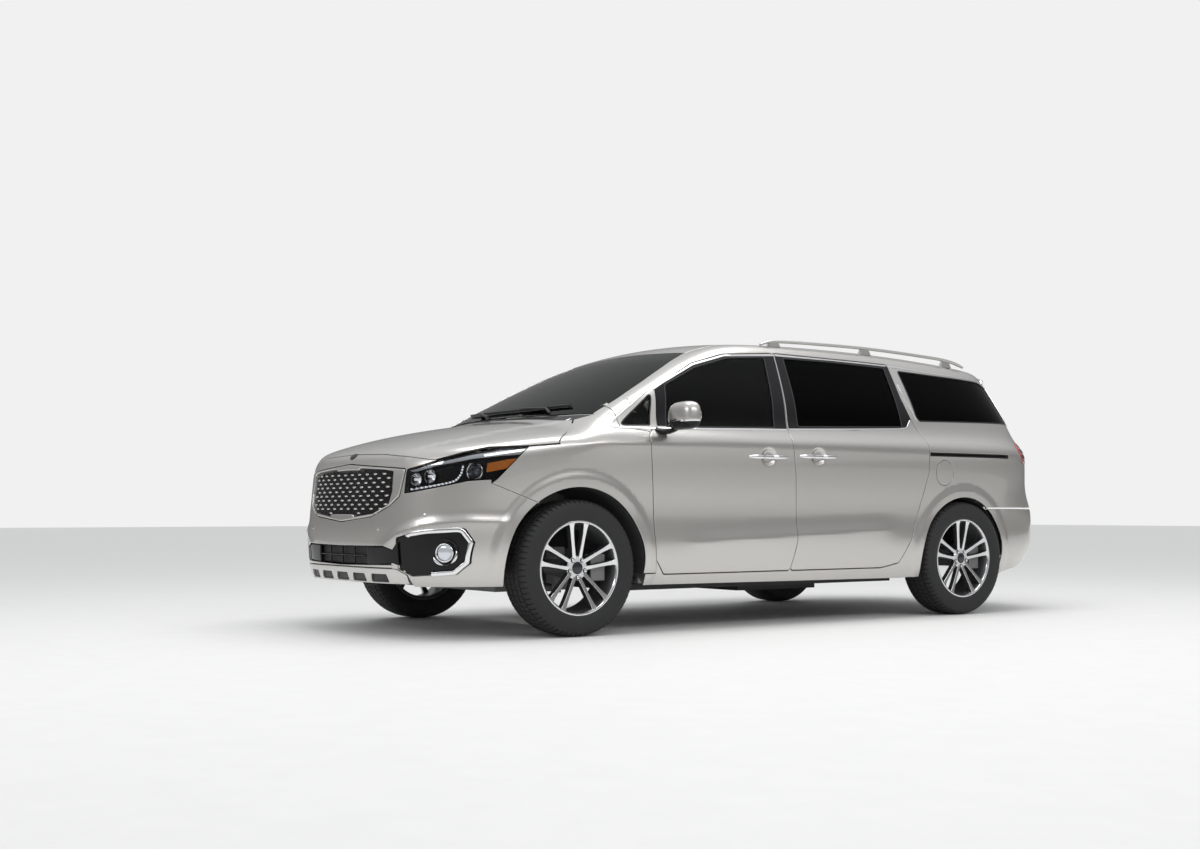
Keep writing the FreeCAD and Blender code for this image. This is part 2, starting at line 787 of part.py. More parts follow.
inset = size("glass_inset")
pane = size("glass_thickness")
door_slab = side_patch.slab(level(0), door_depth)
wall_slab = side_patch.slab(level(0), wall_end)
post_slab = side_patch.slab(post_start, post_end)
fender_slab = side_patch.slab(level(0), level(size("skin_thickness")))
side_glass_slab = side_patch.slab(level(inset), level(inset + pane))
bumper_slab = nose_patch.slab(level(0), level(size("bumper_thickness")))
lamp_slab = nose_patch.slab(level(0), level(size("lamp_depth")))
recess = size("grille_recess")
grille_slab = nose_patch.slab(level(recess), level(recess + size("grille_plate")))
frame_slab = nose_patch.slab(level(0), level(recess + size("grille_plate")))
tail_slab = tail_patch.slab(level(0), level(size("bumper_thickness")))
gate_slab = tail_patch.slab(level(0), gate_depth)
gate_glass_slab = tail_patch.slab(level(inset), level(inset + pane))
tail_lamp_slab = tail_patch.slab(level(0), level(size("tail_lamp_depth")))
hood_slab = hood_patch.slab(level(0), level(size("hood_thickness")))
hood_cover = hood_patch.slab(level(-over), level(size("hood_thickness") / 2))
roof_slab = roof_patch.slab(level(0), level(size("roof_thickness")))
screen_slab = roof_patch.slab(level(inset), level(inset + pane))
cowl_slab = roof_patch.slab(level(size("cowl_recess")), level(size("cowl_recess") + size("cowl_thickness")))

half_shut = shut / 2
half_seam = seam / 2
corner = size("panel_corner")
small_corner = size("window_corner")


def arch_tool(axle, radius):
    along = size(axle + "_axle_x")
    return Part.makeCylinder(radius, 2 * half_width, V(along, 0, size("wheel_centre_z")), V(0, 1, 0))


front_arch = arch_tool("front", size("front_arch_radius"))
rear_arch = arch_tool("rear", size("rear_arch_radius"))


rear_liner_seat = Part.makeCylinder(size("rear_arch_radius") + size("arch_liner_step") + size("arch_liner_wall") + fit,
                                    size("rear_liner_outer_y") + fit,
                                    V(size("rear_axle_x"), 0, size("wheel_centre_z")), V(0, 1, 0))


def hood_tool(grow):
    plan = plan_tool(around(hood_half_shares), 0.0, grow)
    side = side_tool(hood_side_shares, 0.0, grow, -1.3, 1.3)
    front = front_tool(both_sides(hood_front_shares), 0.0, grow)
    return plan.common(side).common(front)


def screen_tool(grow):
    return plan_tool(around(screen_half_shares), 0.0, grow, 0.5)


def cowl_tool(grow):
    return plan_tool(around(cowl_half_shares), 0.0, grow, 0.5)


def roof_tool(grow):
    return plan_tool(around(roof_half_shares), 0.0, grow, 0.7)


def gate_tool(grow):
    rear = front_tool(both_sides(tailgate_half_shares), 0.0, grow, -1.3, -0.70)
    return rear.cut(roof_tool(size("gate_top_gap") - half_shut - grow))


def fender_tool(grow):
    return side_tool(fender_shares, 0.0, grow)


def headlamp_tool(grow):
    outline_tool = side_tool(headlamp_shares, 0.0, grow, 0.0)
    inner = size("headlamp_inner_y") - grow
    keep = Part.makeBox(2 * half_length, half_width, height, V(0, inner, 0))
    return outline_tool.common(keep)


# Doors
front_door = door_slab.common(side_tool(front_door_shares, corner, -half_shut))
front_door = front_door.cut(side_tool(front_window_shares, small_corner))
sliding_door = door_slab.common(side_tool(sliding_door_shares, corner, -half_shut))
sliding_door = sliding_door.cut(side_tool(sliding_window_shares, small_corner))


def block(x0, x1, y0, y1, z0, z1):
    return Part.makeBox(x1 - x0, y1 - y0, z1 - z0, V(x0, y0, z0))


def rod(start, end, radius):
    way = end - start
    return Part.makeCylinder(radius, way.Length, start, way)


def soft_block(x0, x1, y0, y1, z0, z1, radius):
    body = block(x0, x1, y0, y1, z0, z1)
    return body.makeFillet(radius, body.Edges)


# Handles stand on the door skin; the mirror stands on the front door's corner
handle_radius = size("handle_radius")
handle_y = size("handle_y")
grip_z = size("front_handle_z")


def handle(front_x, rear_x, level_z):
    bar = rod(V(rear_x, handle_y, level_z), V(front_x, handle_y, level_z), handle_radius)
    for foot_x in (front_x - 2 * handle_radius, rear_x + 2 * handle_radius):
        root = V(foot_x, handle_y - size("handle_root"), level_z)
        bar = bar.fuse(rod(root, V(foot_x, handle_y, level_z), handle_radius))
    return bar


front_door = front_door.fuse(handle(size("front_handle_x"),
                                    size("front_handle_x") - size("handle_length"), grip_z))
sliding_door = sliding_door.fuse(handle(size("sliding_handle_x"),
                                        size("sliding_handle_x") - size("handle_length"),
                                        size("sliding_handle_z")))
mirror_x = size("mirror_x")
mirror_y = size("mirror_y")
mirror_z = size("mirror_z")
mirror_shell = soft_block(mirror_x - size("mirror_depth") / 2, mirror_x + size("mirror_depth") / 2,
                          mirror_y - size("mirror_width") / 2, mirror_y + size("mirror_width") / 2,
                          mirror_z - size("mirror_height") / 2, mirror_z + size("mirror_height") / 2,
                          size("mirror_round"))
mirror_foot = rod(V(mirror_x, mirror_y, mirror_z - size("mirror_height") / 3),
                  V(mirror_x + size("mirror_foot_ahead"), size("mirror_foot_y"), size("mirror_foot_z")),
                  size("mirror_foot_radius"))
front_door = front_door.fuse([mirror_shell, mirror_foot])


def plan_plate(points, low_z, high_z):
    corners = [V(a, b, low_z) for a, b in points]
    return Part.Face(Part.makePolygon(corners + corners[:1])).extrude(V(0, 0, high_z - low_z))


# Door hinges: goose-neck arms on the door turn on pins held by brackets of the hinge post
axis_x = size("door_axis_x")
axis_y = size("door_axis_y")
pin_r = size("door_pin_radius")
eye_r = size("door_eye_radius")
arm_t = size("hinge_arm_thickness")
arm_half = size("hinge_arm_height") / 2
leaf_t = size("hinge_leaf_thickness")
post_brackets = []
neck_x = size("hinge_neck_x")
neck_y = size("hinge_neck_y")
bend_x = size("hinge_bend_x")
bend_y = size("hinge_bend_y")
for hinge_z in (size("upper_hinge_z"), size("lower_hinge_z")):
    eye = Part.makeCylinder(eye_r, 2 * arm_half, V(axis_x, axis_y, hinge_z - arm_half))
    web = plan_plate([(axis_x - arm_t / 2, axis_y), (axis_x + arm_t / 2, axis_y),
                      (bend_x + arm_t / 2, bend_y - arm_t / 2), (neck_x, neck_y - arm_t / 2),
                      (neck_x, neck_y + arm_t / 2), (bend_x - arm_t / 2, bend_y + arm_t / 2)],
                     hinge_z - arm_half, hinge_z + arm_half)
    foot = block(size("hinge_foot_x"), neck_x + arm_t / 2, neck_y - arm_t / 2, neck_y + arm_t / 2,
                 hinge_z - arm_half, hinge_z + arm_half)
    pin_hole = Part.makeCylinder(pin_r + fit, 4 * arm_half, V(axis_x, axis_y, hinge_z - 2 * arm_half))
    front_door = front_door.fuse(eye.fuse([web, foot]).cut(pin_hole))
    reach = arm_half + fit + leaf_t
    pin = Part.makeCylinder(pin_r, 2 * reach, V(axis_x, axis_y, hinge_z - reach))
    post_x = size("hinge_post_front_x")
    leaves = [pin]
    for low in (hinge_z + arm_half + fit, hinge_z - arm_half - fit - leaf_t):
        leaves.append(plan_plate([(axis_x - eye_r, axis_y + eye_r), (axis_x + eye_r, axis_y + eye_r),
                                  (axis_x + eye_r, axis_y - eye_r), (post_x, size("hinge_post_y") - eye_r),
                                  (post_x - 4 * eye_r, size("hinge_post_y") - eye_r),
                                  (post_x - 4 * eye_r, size("hinge_post_y")), (post_x, size("hinge_post_y"))],
                                 low, low + leaf_t))
    post_brackets.append(leaves[0].fuse(leaves[1:]))
pair("front_door", main_solid(front_door))
# The rear roller arm of the sliding door rests in the rail slot of the body side
roller_arm = block(size("roller_rear_x"), size("roller_front_x"), size("slot_root_y") + fit, size("roller_outer_y"),
                   size("slot_z") - size("roller_height") / 2, size("slot_z") + size("roller_height") / 2)
sliding_door = sliding_door.fuse(roller_arm)
pair("sliding_door", main_solid(sliding_door))

front_glass = side_glass_slab.common(side_tool(front_window_shares, small_corner, -fit))
pair("front_door_glass", main_solid(front_glass))
fixed_panes = [side_glass_slab.common(side_tool(outline_shares, small_corner, -fit))
               for outline_shares in (sliding_window_shares, quarter_window_shares, vent_window_shares)]

# Body sides: sill, pillars, cant rail and quarter panel in one wall each
wall = wall_slab.cut(side_tool(front_door_shares, corner, half_shut))
wall = wall.cut(side_tool(sliding_door_shares, corner, half_shut))
wall = wall.cut(fender_tool(half_seam))
wall = wall.cut(side_tool(quarter_window_shares, small_corner))
wall = wall.cut(side_tool(vent_window_shares, small_corner))
wall = wall.cut(roof_tool(half_seam))
wall = wall.cut(screen_tool(half_seam))
wall = wall.cut(cowl_tool(half_seam))
wall = wall.cut(hood_tool(half_shut))
wall = wall.cut(gate_tool(half_shut))
wall = wall.cut(rear_arch)
wall = wall.cut(rear_liner_seat)
wall = wall.cut(side_tool(sill_cut_shares))
wall = wall.cut(side_tool(tail_lamp_shares, 0.0, half_seam))
bumper_top = size("rear_bumper_top")
rear_zone = block(-2 * half_length, size("rear_bumper_front_x"), -2 * half_width, 2 * half_width, -over, bumper_top)
wall = wall.cut(rear_zone)
nose_zone = block(size("sill_front_x"), 2 * half_length, 0, 2 * half_width, -over, size("belt_height"))
wall = wall.cut(nose_zone)
flap_x = size("flap_x")
flap_z = size("flap_z")


def flap_tool(grow):
    cap = Part.makeCylinder(size("flap_radius") + grow, half_width, V(flap_x, size("flap_root_y"), flap_z),
                            V(0, 1, 0))
    return cap


wall_right = mirrored(main_solid(wall))
wall = wall.cut(flap_tool(half_shut))
hinge_post = block(size("hinge_post_rear_x"), size("hinge_post_front_x"), size("hinge_post_inner_y"),
                   size("hinge_post_y"), size("floor_height"), size("hinge_post_top_z"))
posts = post_slab.common(side_tool(pillar_post_shares)).fuse(hinge_post)
posts = posts.cut(side_tool(sill_cut_shares))
posts = posts.cut(roof_tool(half_seam)).fuse(post_brackets)
rail_slot = block(size("slot_rear_x"), size("slot_front_x"), size("slot_root_y"), 2 * half_width,
                  size("slot_z") - size("slot_height") / 2, size("slot_z") + size("slot_height") / 2)
flap_pin_x = flap_x + size("flap_pin_ahead")
flap_pin_y = size("flap_pin_y")
flap_eye_h = size("flap_eye_height")
flap_eye_r = size("flap_eye_radius")
flap_neck_t = size("flap_neck_thickness")
deep_x = flap_pin_x - size("flap_neck_back")
deep_y = flap_pin_y - size("flap_neck_depth")
run_x = flap_pin_x - size("flap_neck_run")
skin_x = flap_pin_x - size("flap_neck_reach")
# The goose neck passes inboard, then rearwards and out to the back of the flap
flap_neck_points = [
    (flap_pin_x - flap_neck_t / 2, flap_pin_y), (flap_pin_x + flap_neck_t / 2, flap_pin_y),
    (deep_x + flap_neck_t / 2, deep_y - flap_neck_t / 2), (run_x - flap_neck_t / 2, deep_y - flap_neck_t / 2),
    (skin_x - flap_neck_t / 2, size("flap_skin_y")), (skin_x + flap_neck_t / 2, size("flap_skin_y")),
    (run_x + flap_neck_t / 2, deep_y + flap_neck_t / 2), (deep_x - flap_neck_t / 2, deep_y + flap_neck_t / 2),
]
chamber = block(flap_x - size("flap_radius"), flap_pin_x + flap_eye_r + half_shut, size("flap_root_y"),
                size("flap_chamber_y"), flap_z - 2 * flap_eye_h - shut, flap_z + 2 * flap_eye_h + shut)
wall = wall.cut(chamber)
flap_pin = Part.makeCylinder(size("flap_pin_radius"), 4 * flap_eye_h + 3 * shut,
                             V(flap_pin_x, flap_pin_y, flap_z - 2 * flap_eye_h - 1.5 * shut))
flap_mount = flap_pin
feature("body_side_left", main_solid(main_solid(wall).cut(rail_slot).fuse([posts, flap_mount])))
feature("body_side_right", main_solid(wall_right.cut(mirrored(rail_slot)).fuse(mirrored(posts))))
flap_slab = side_patch.slab(level(0), level(size("flap_thickness")))
flap = main_solid(flap_slab.common(flap_tool(-half_shut)))
for eye_z in (flap_z - 2 * flap_eye_h, flap_z + flap_eye_h):
    eye = Part.makeCylinder(flap_eye_r, flap_eye_h, V(flap_pin_x, flap_pin_y, eye_z))
    arm = plan_plate(flap_neck_points, eye_z, eye_z + flap_eye_h)
    hole = Part.makeCylinder(size("flap_pin_radius") + fit, flap_eye_h, V(flap_pin_x, flap_pin_y, eye_z))
    flap = flap.fuse(eye.fuse(arm).cut(hole))
feature("fuel_flap", main_solid(flap))

# Fenders, roof, screens
cowl_zone = plan_tool(around(cowl_zone_half_shares), 0.0, 0.0, 0.5)
fender = fender_slab.common(fender_tool(-half_seam))
fender = fender.cut(hood_tool(half_shut)).cut(screen_tool(half_seam)).cut(cowl_tool(half_seam))
fender = fender.cut(cowl_zone).cut(side_tool(front_door_shares, corner, half_shut))
fender = fender.cut(front_arch).cut(headlamp_tool(half_seam))
feature("fenders", couple(main_solid(fender)))
roof = roof_slab.common(roof_tool(-half_seam))
gate_pin_r = size("gate_pin_radius")
gate_eye_r = size("gate_eye_radius")
gate_axis = V(size("gate_axis_x"), 0, size("gate_axis_z"))
eye_w = size("gate_eye_width")
for sign in (1, -1):
    middle_y = sign * size("gate_hinge_y")
    notch = block(size("gate_axis_x") - 6 * gate_eye_r, size("gate_axis_x") + gate_eye_r + shut,
                  middle_y - eye_w / 2 - shut, middle_y + eye_w / 2 + shut, gate_axis.z - over, gate_axis.z + over)
    roof = roof.cut(notch)
    pin_start = V(gate_axis.x, middle_y - eye_w / 2 - 3 * shut, gate_axis.z)
    roof = roof.fuse(Part.makeCylinder(gate_pin_r, eye_w + 6 * shut, pin_start, V(0, 1, 0)))
feature("roof_panel", main_solid(roof))
feature("windscreen", main_solid(screen_slab.common(screen_tool(-half_seam))))
cowl = main_solid(cowl_slab.common(cowl_tool(-half_seam)))
hood_axis = V(size("hood_axis_x"), 0, size("hood_axis_z"))
hood_pin_r = size("hood_pin_radius")
hood_eye_r = size("hood_eye_radius")
hood_arm_w = size("hood_arm_width")
for sign in (1, -1):
    middle_y = sign * size("hood_hinge_y")
    notch = block(hood_axis.x - hood_eye_r - shut, hood_axis.x + size("hood_arm_length"),
                  middle_y - hood_arm_w / 2 - shut, middle_y + hood_arm_w / 2 + shut,
                  hood_axis.z - over, hood_axis.z + over)
    cowl = cowl.cut(notch)
    pin_start = V(hood_axis.x, middle_y - hood_arm_w / 2 - 3 * shut, hood_axis.z)
    cowl = cowl.fuse(Part.makeCylinder(hood_pin_r, hood_arm_w + 6 * shut, pin_start, V(0, 1, 0)))
feature("cowl", main_solid(cowl))
feature("fixed_side_glass", couple(Part.makeCompound([main_solid(p) for p in fixed_panes])))

# Hood and front end
hood = main_solid(hood_slab.common(hood_tool(-half_shut)))
for sign in (1, -1):
    start_y = sign * size("hood_hinge_y") - hood_arm_w / 2
    eye = Part.makeCylinder(hood_eye_r, hood_arm_w, V(hood_axis.x, start_y, hood_axis.z), V(0, 1, 0))
    tip_x = hood_axis.x + size("hood_arm_length")
    tip_z = hood_axis.z - size("hood_arm_drop")
    corners = [V(hood_axis.x, start_y, hood_axis.z + hood_eye_r / 2),
               V(tip_x, start_y, tip_z + 2 * hood_eye_r), V(tip_x, start_y, tip_z),
               V(hood_axis.x, start_y, hood_axis.z - hood_eye_r)]
    arm = Part.Face(Part.makePolygon(corners + corners[:1])).extrude(V(0, hood_arm_w, 0))
    hole = Part.makeCylinder(hood_pin_r + fit, hood_arm_w, V(hood_axis.x, start_y, hood_axis.z), V(0, 1, 0))
    trimmed = arm.cut(hood_cover).fuse(eye).cut(hole)
    hood = hood.fuse(trimmed)
feature("hood", main_solid(hood))
bumper = bumper_slab.cut(hood_tool(half_shut))
bumper = bumper.cut(block(-2 * half_length, 2 * half_length, -2 * half_width, 2 * half_width,
                          -over, size("bumper_bottom")))
for tool in (headlamp_tool(half_seam), fender_tool(half_seam), front_arch,
             front_tool(fog_shares, small_corner)):
    bumper = bumper.cut(tool).cut(mirrored(tool))
for half in (grille_half_shares, intake_half_shares, skid_half_shares):
    bumper = bumper.cut(front_tool(both_sides(half), small_corner))
behind_arch = block(-half_length, size("front_axle_x") + size("front_arch_radius") / 2, -2 * half_width,
                    2 * half_width, -over, height)
bumper = bumper.cut(behind_arch)
feature("front_bumper", Part.makeCompound(solids_of(bumper)))
lamp = main_solid(lamp_slab.common(headlamp_tool(-half_seam)))
feature("headlamps", couple(lamp))
grille_tool = front_tool(both_sides(grille_half_shares), small_corner, -half_seam)
grille_hole = front_tool(both_sides(grille_half_shares), small_corner, -size("grille_frame"))
grille = grille_slab.common(grille_hole).fuse(frame_slab.common(grille_tool.cut(grille_hole)))
feature("grille", main_solid(grille))
intake_tool = front_tool(both_sides(intake_half_shares), small_corner, -half_seam)
intake_hole = front_tool(both_sides(intake_half_shares), small_corner, -size("intake_rim"))
intake = main_solid(grille_slab.common(intake_hole).fuse(frame_slab.common(intake_tool.cut(intake_hole))))
skid = bumper_slab.common(front_tool(both_sides(skid_half_shares), small_corner, -half_seam))
skid = main_solid(skid.cut(block(-half_length, 2 * half_length, -half_width, half_width,
                                 -over, size("skid_bottom"))))
feature("lower_grille", Part.makeCompound([intake, skid]))
fog_recess = size("fog_recess")
fog_slab = nose_patch.slab(level(fog_recess), level(fog_recess + size("grille_plate")))
fog_rim_slab = nose_patch.slab(level(0), level(fog_recess + size("grille_plate")))
fog_hole = front_tool(fog_shares, small_corner, -size("fog_rim"))
fog_rim = fog_rim_slab.common(front_tool(fog_shares, small_corner, -half_seam).cut(fog_hole))
fog_panel = main_solid(fog_slab.common(fog_hole).fuse(fog_rim))
fog_lamp = rod(V(size("fog_x") - size("fog_length"), size("fog_y"), size("fog_z")),
               V(size("fog_x"), size("fog_y"), size("fog_z")), size("fog_radius"))
feature("fog_lamps", couple(main_solid(fog_panel.fuse(fog_lamp))))

# Tailgate, rear bumper, tail lamps
gate = gate_slab.common(gate_tool(-half_shut))
gate = gate.cut(front_tool(both_sides(rear_window_half_shares), small_corner, 0.0, -1.3, -0.5))
for sign in (1, -1):
    start_y = sign * size("gate_hinge_y") - eye_w / 2
    eye = Part.makeCylinder(gate_eye_r, eye_w, V(gate_axis.x, start_y, gate_axis.z), V(0, 1, 0))
    neck = block(gate_axis.x - size("gate_neck_length"), gate_axis.x, start_y, start_y + eye_w,
                 gate_axis.z - gate_eye_r, gate_axis.z + gate_eye_r / 2)
    hole = Part.makeCylinder(gate_pin_r + fit, eye_w, V(gate_axis.x, start_y, gate_axis.z), V(0, 1, 0))
    gate = gate.fuse(eye.fuse(neck).cut(hole))
feature("tailgate", main_solid(gate))
gate_glass = gate_glass_slab.common(front_tool(both_sides(rear_window_half_shares), small_corner, -fit,
                                               -1.3, -0.5))
feature("tailgate_glass", main_solid(gate_glass))
rear_bumper = tail_slab.cut(side_tool(rear_cut_shares, 0.0, 0.0, -1.3, 1.3)).cut(rear_arch)
rear_bumper = rear_bumper.cut(mirrored(rear_arch))
rear_bumper = rear_bumper.common(block(-2 * half_length, size("rear_bumper_front_x") - seam, -2 * half_width,
                                       2 * half_width, -over, bumper_top - seam))
feature("rear_bumper", main_solid(rear_bumper))
tail_lamp = tail_lamp_slab.common(side_tool(tail_lamp_shares, 0.0, -half_seam)).cut(gate_tool(half_shut))
feature("tail_lamps", couple(main_solid(tail_lamp)))

# Arch liners
skin_shell = side_patch.slab(level(-over), level(size("bumper_thickness") + size("arch_liner_wall")))


def liner(axle, inner_y, outer_y, radius):
    along = size(axle + "_axle_x")
    start = V(along, inner_y, size("wheel_centre_z"))
    length = outer_y - inner_y
    ring = Part.makeCylinder(radius + size("arch_liner_wall"), length, start, V(0, 1, 0))
    ring = ring.cut(Part.makeCylinder(radius, length, start, V(0, 1, 0)))
    floor = block(-half_length, half_length, 0, half_width, -half_width, size("liner_bottom_z"))
    return main_solid(ring.cut(floor).cut(skin_shell))


front_liner = liner("front", size("front_liner_inner_y"), size("front_liner_outer_y"),
                    size("front_arch_radius") + size("arch_liner_step"))
rear_liner = liner("rear", size("rear_liner_inner_y"), size("rear_liner_outer_y"),
                   size("rear_arch_radius") + size("arch_liner_step"))
feature("arch_liners", couple(Part.makeCompound([front_liner, rear_liner])))

# Floor, firewall and rails
floor_top = size("floor_height")
floor_low = floor_top - size("floor_thickness")
wide = size("floor_half_width")
narrow = size("rear_floor_half_width")
kick_x = size("kick_up_x")
kick_top = size("rear_floor_height")
wall_t = size("floor_thickness")
floor_parts = [
    block(kick_x, size("firewall_x") + size("firewall_thickness"), -wide, wide, floor_low, floor_top),
    block(kick_x - wall_t, kick_x, -wide, wide, floor_low, kick_top),
    block(size("floor_rear_x"), kick_x - wall_t, -narrow, narrow, kick_top - wall_t, kick_top),
    block(size("firewall_x"), size("firewall_x") + size("firewall_thickness"), -size("firewall_half_width"),
          size("firewall_half_width"), floor_top, size("firewall_top")),
]
rail_z = size("rail_centre_z")
rail_out = size("rail_outer_y")
rail_in = rail_out - size("rail_width")
for sign in (1, -1):
    low_y, high_y = sorted((sign * rail_in, sign * rail_out))
    floor_parts.append(block(size("firewall_x") + size("firewall_thickness"), size("rail_front_x"),
                             low_y, high_y, rail_z - size("rail_height") / 2, rail_z + size("rail_height") / 2))
floor = floor_parts[0].fuse(floor_parts[1:])
feature("floor_pan", main_solid(floor.removeSplitter()))

# Interior
dash_profile_shares = [
    (0.4417, 0.3533), (0.4417, 0.5926), (0.4106, 0.6296), (0.3363, 0.6211),
    (0.2893, 0.5755), (0.2815, 0.5128), (0.3089, 0.3989),
]
dash_half = size("dash_half_width")
dash_points = [V(half_length * a, -dash_half, height * b) for a, b in dash_profile_shares]
dashboard = Part.Face(rounded(dash_points, size("dash_round"))).extrude(V(0, 2 * dash_half, 0))
console = block(size("console_rear_x"), size("console_front_x"), -size("console_half_width"),
                size("console_half_width"), floor_top, size("console_height"))
column_way = V(math.cos(math.radians(size("column_tilt_deg"))), 0, -math.sin(math.radians(size("column_tilt_deg"))))
wheel_point = V(size("steering_x"), size("steering_y"), size("steering_z"))
column = rod(wheel_point + column_way * size("column_start"), wheel_point + column_way * size("column_end"),
             size("column_radius"))
feature("dashboard", main_solid(dashboard.fuse([console, column])))
rim_ring = Part.makeTorus(size("steering_radius"), size("steering_grip"), wheel_point, column_way)
hub = rod(wheel_point - column_way * size("steering_grip"),
          wheel_point + column_way * (size("column_start") - fit), size("steering_hub_radius"))
spokes = []
side_way = V(0, 1, 0)
up_way = side_way.cross(column_way)
for spoke_deg in (0, 180, 270):
    turn = math.radians(spoke_deg)
    way = side_way * math.cos(turn) - up_way * math.sin(turn) * -1
    spokes.append(rod(wheel_point, wheel_point + way * size("steering_radius"), size("steering_grip") * 0.8))
feature("steering_wheel", main_solid(rim_ring.fuse([hub] + spokes)))


def seat(x, y, width, base):
    """Cushion, back and head rest, each a plain soft solid on its own base."""
    gap = fit
    half = width / 2
    radius = size("seat_round")
    length = size("seat_length")
    top = base + size("seat_height")
    cushion_low = top - size("cushion_thickness")
    riser = block(x + radius, x + length - radius, y - half + radius, y + half - radius, base,
                  cushion_low - gap)
    cushion = soft_block(x, x + length, y - half, y + half, cushion_low, top, radius)
    back_t = size("back_thickness")
    back = soft_block(x - back_t, x, y - half, y + half, cushion_low, top + size("back_height"), radius)
    back.translate(V(-gap, 0, 0))
    lean = math.radians(size("back_lean_deg"))
    back.rotate(V(x - gap, 0, cushion_low), V(0, 1, 0), -size("back_lean_deg"))
    rest_low = top + size("back_height")
    rest = soft_block(x - back_t, x - back_t / 4, y - size("rest_width") / 2, y + size("rest_width") / 2,
                      rest_low + gap, rest_low + size("rest_height"), radius)
    rest.translate(V(-gap, 0, 0))
    rest.rotate(V(x - gap, 0, cushion_low), V(0, 1, 0), -size("back_lean_deg"))
    return [riser, cushion, back, rest]


front_y = size("front_seat_y")
seats = seat(size("front_seat_x"), front_y, size("front_seat_width"), floor_top)
seats += seat(size("front_seat_x"), -front_y, size("front_seat_width"), floor_top)
seats += seat(size("middle_seat_x"), front_y, size("front_seat_width"), floor_top)
seats += seat(size("middle_seat_x"), -front_y, size("front_seat_width"), floor_top)
seats += seat(size("rear_seat_x"), 0.0, size("rear_bench_width"), kick_top)
feature("seats", Part.makeCompound(seats))

# Heavy and underfloor pieces
engine = block(size("engine_x0"), size("engine_x1"), -size("engine_half_width"), size("engine_half_width"),
               size("subframe_z") + size("subframe_height"), size("engine_z1"))
feature("engine", engine)
tank = block(size("tank_x0"), size("tank_x1"), size("tank_y0"), size("tank_y1"),
             floor_low - size("tank_depth"), floor_low)
feature("fuel_tank", tank)
pipe_y = size("exhaust_y")
pipe_z = size("exhaust_z")
muffler = rod(V(size("muffler_x0"), pipe_y, pipe_z), V(size("muffler_x1"), pipe_y, pipe_z), size("muffler_radius"))
pipe = rod(V(size("exhaust_front_x"), pipe_y, pipe_z), V(size("exhaust_rear_x"), pipe_y, pipe_z),
           size("exhaust_radius"))
hanger = block(size("muffler_x0"), size("muffler_x0") + wall_t, pipe_y - wall_t / 2, pipe_y + wall_t / 2,
               pipe_z, kick_top - wall_t)
feature("exhaust", main_solid(muffler.fuse([pipe, hanger])))

axle_f = size("front_axle_x")
axle_r = size("rear_axle_x")
axle_z = size("wheel_centre_z")
knuckle_in = size("knuckle_inner_y")
hub_face = size("rim_width") / 2 - size("rim_face_depth") - size("disc_inset")
king_y = size("kingpin_y")
arm_r = size("arm_radius")
frame_z = size("subframe_z")
subframe = block(axle_f - size("subframe_length") / 2, axle_f + size("subframe_length") / 2,
                 -rail_out, rail_out, frame_z, frame_z + size("subframe_height"))
subframe_parts = []
for sign in (1, -1):
    joint = V(axle_f, sign * king_y, frame_z + size("subframe_height") / 2)
    subframe_parts.append(Part.makeCylinder(size("ball_radius"), size("subframe_height"), V(joint.x, joint.y, frame_z)))
    for reach in (-1, 1):
        root = V(axle_f + reach * size("subframe_length") / 2.5, sign * rail_out * 0.9, joint.z)
        subframe_parts.append(rod(root, joint, arm_r))
    post_low = frame_z + size("subframe_height")
    low_y, high_y = sorted((sign * rail_in, sign * rail_out))
    for reach in (-1, 1):
        foot_x = axle_f + reach * (size("subframe_length") / 2 - wall_t)
        subframe_parts.append(block(foot_x - wall_t / 2, foot_x + wall_t / 2, low_y, high_y, post_low,
                                    rail_z - size("rail_height") / 2))
feature("front_subframe", main_solid(subframe.fuse(subframe_parts)))
rear_parts = []
hub_rear = size("rear_track") / 2 + hub_face


# Steered knuckles
def caliper(axle_x, hub_y, sign, root_y):
    """A brake caliper that straddles the disc behind the axle, with its bracket."""
    disc_low = hub_y
    reach_in = size("caliper_wall")
    reach_out = size("disc_thickness") + size("caliper_wall")
    low_y, high_y = sorted((disc_low - sign * reach_in, disc_low + sign * reach_out))
    shell = block(axle_x - size("caliper_outer"), axle_x - size("caliper_inner"), low_y, high_y,
                  axle_z - size("caliper_half_height"), axle_z + size("caliper_half_height"))
    slot_low, slot_high = sorted((disc_low - sign * size("disc_clearance"),
                                  disc_low + sign * (size("disc_thickness") + size("disc_clearance"))))
    slot = Part.makeCylinder(size("disc_radius") + size("disc_clearance"), slot_high - slot_low,
                             V(axle_x, slot_low, axle_z), V(0, 1, 0))
    arm_low, arm_high = sorted((sign * root_y, disc_low - sign * size("disc_clearance")))
    arm = block(axle_x - size("caliper_outer") * 0.8, axle_x, arm_low, arm_high, axle_z - arm_r, axle_z + arm_r)
    return shell.cut(slot).fuse(arm)


for side_name, sign in (("left", 1), ("right", -1)):
    hub_y = sign * (size("front_track") / 2 + hub_face)
    carrier = rod(V(axle_f, sign * knuckle_in, axle_z), V(axle_f, hub_y - sign * fit, axle_z),
                  size("hub_radius") * size("bearing_share"))
    low_y, high_y = sorted((sign * knuckle_in, sign * size("knuckle_outer_y")))
    upright = block(axle_f - wall_t, axle_f + wall_t, low_y, high_y,
                    frame_z + size("subframe_height") + fit, axle_z + size("upright_height"))
    feature("knuckle_" + side_name, main_solid(carrier.fuse([upright, caliper(axle_f, hub_y, sign, knuckle_in)])))

rear_knuckle_in = size("rear_knuckle_inner_y")
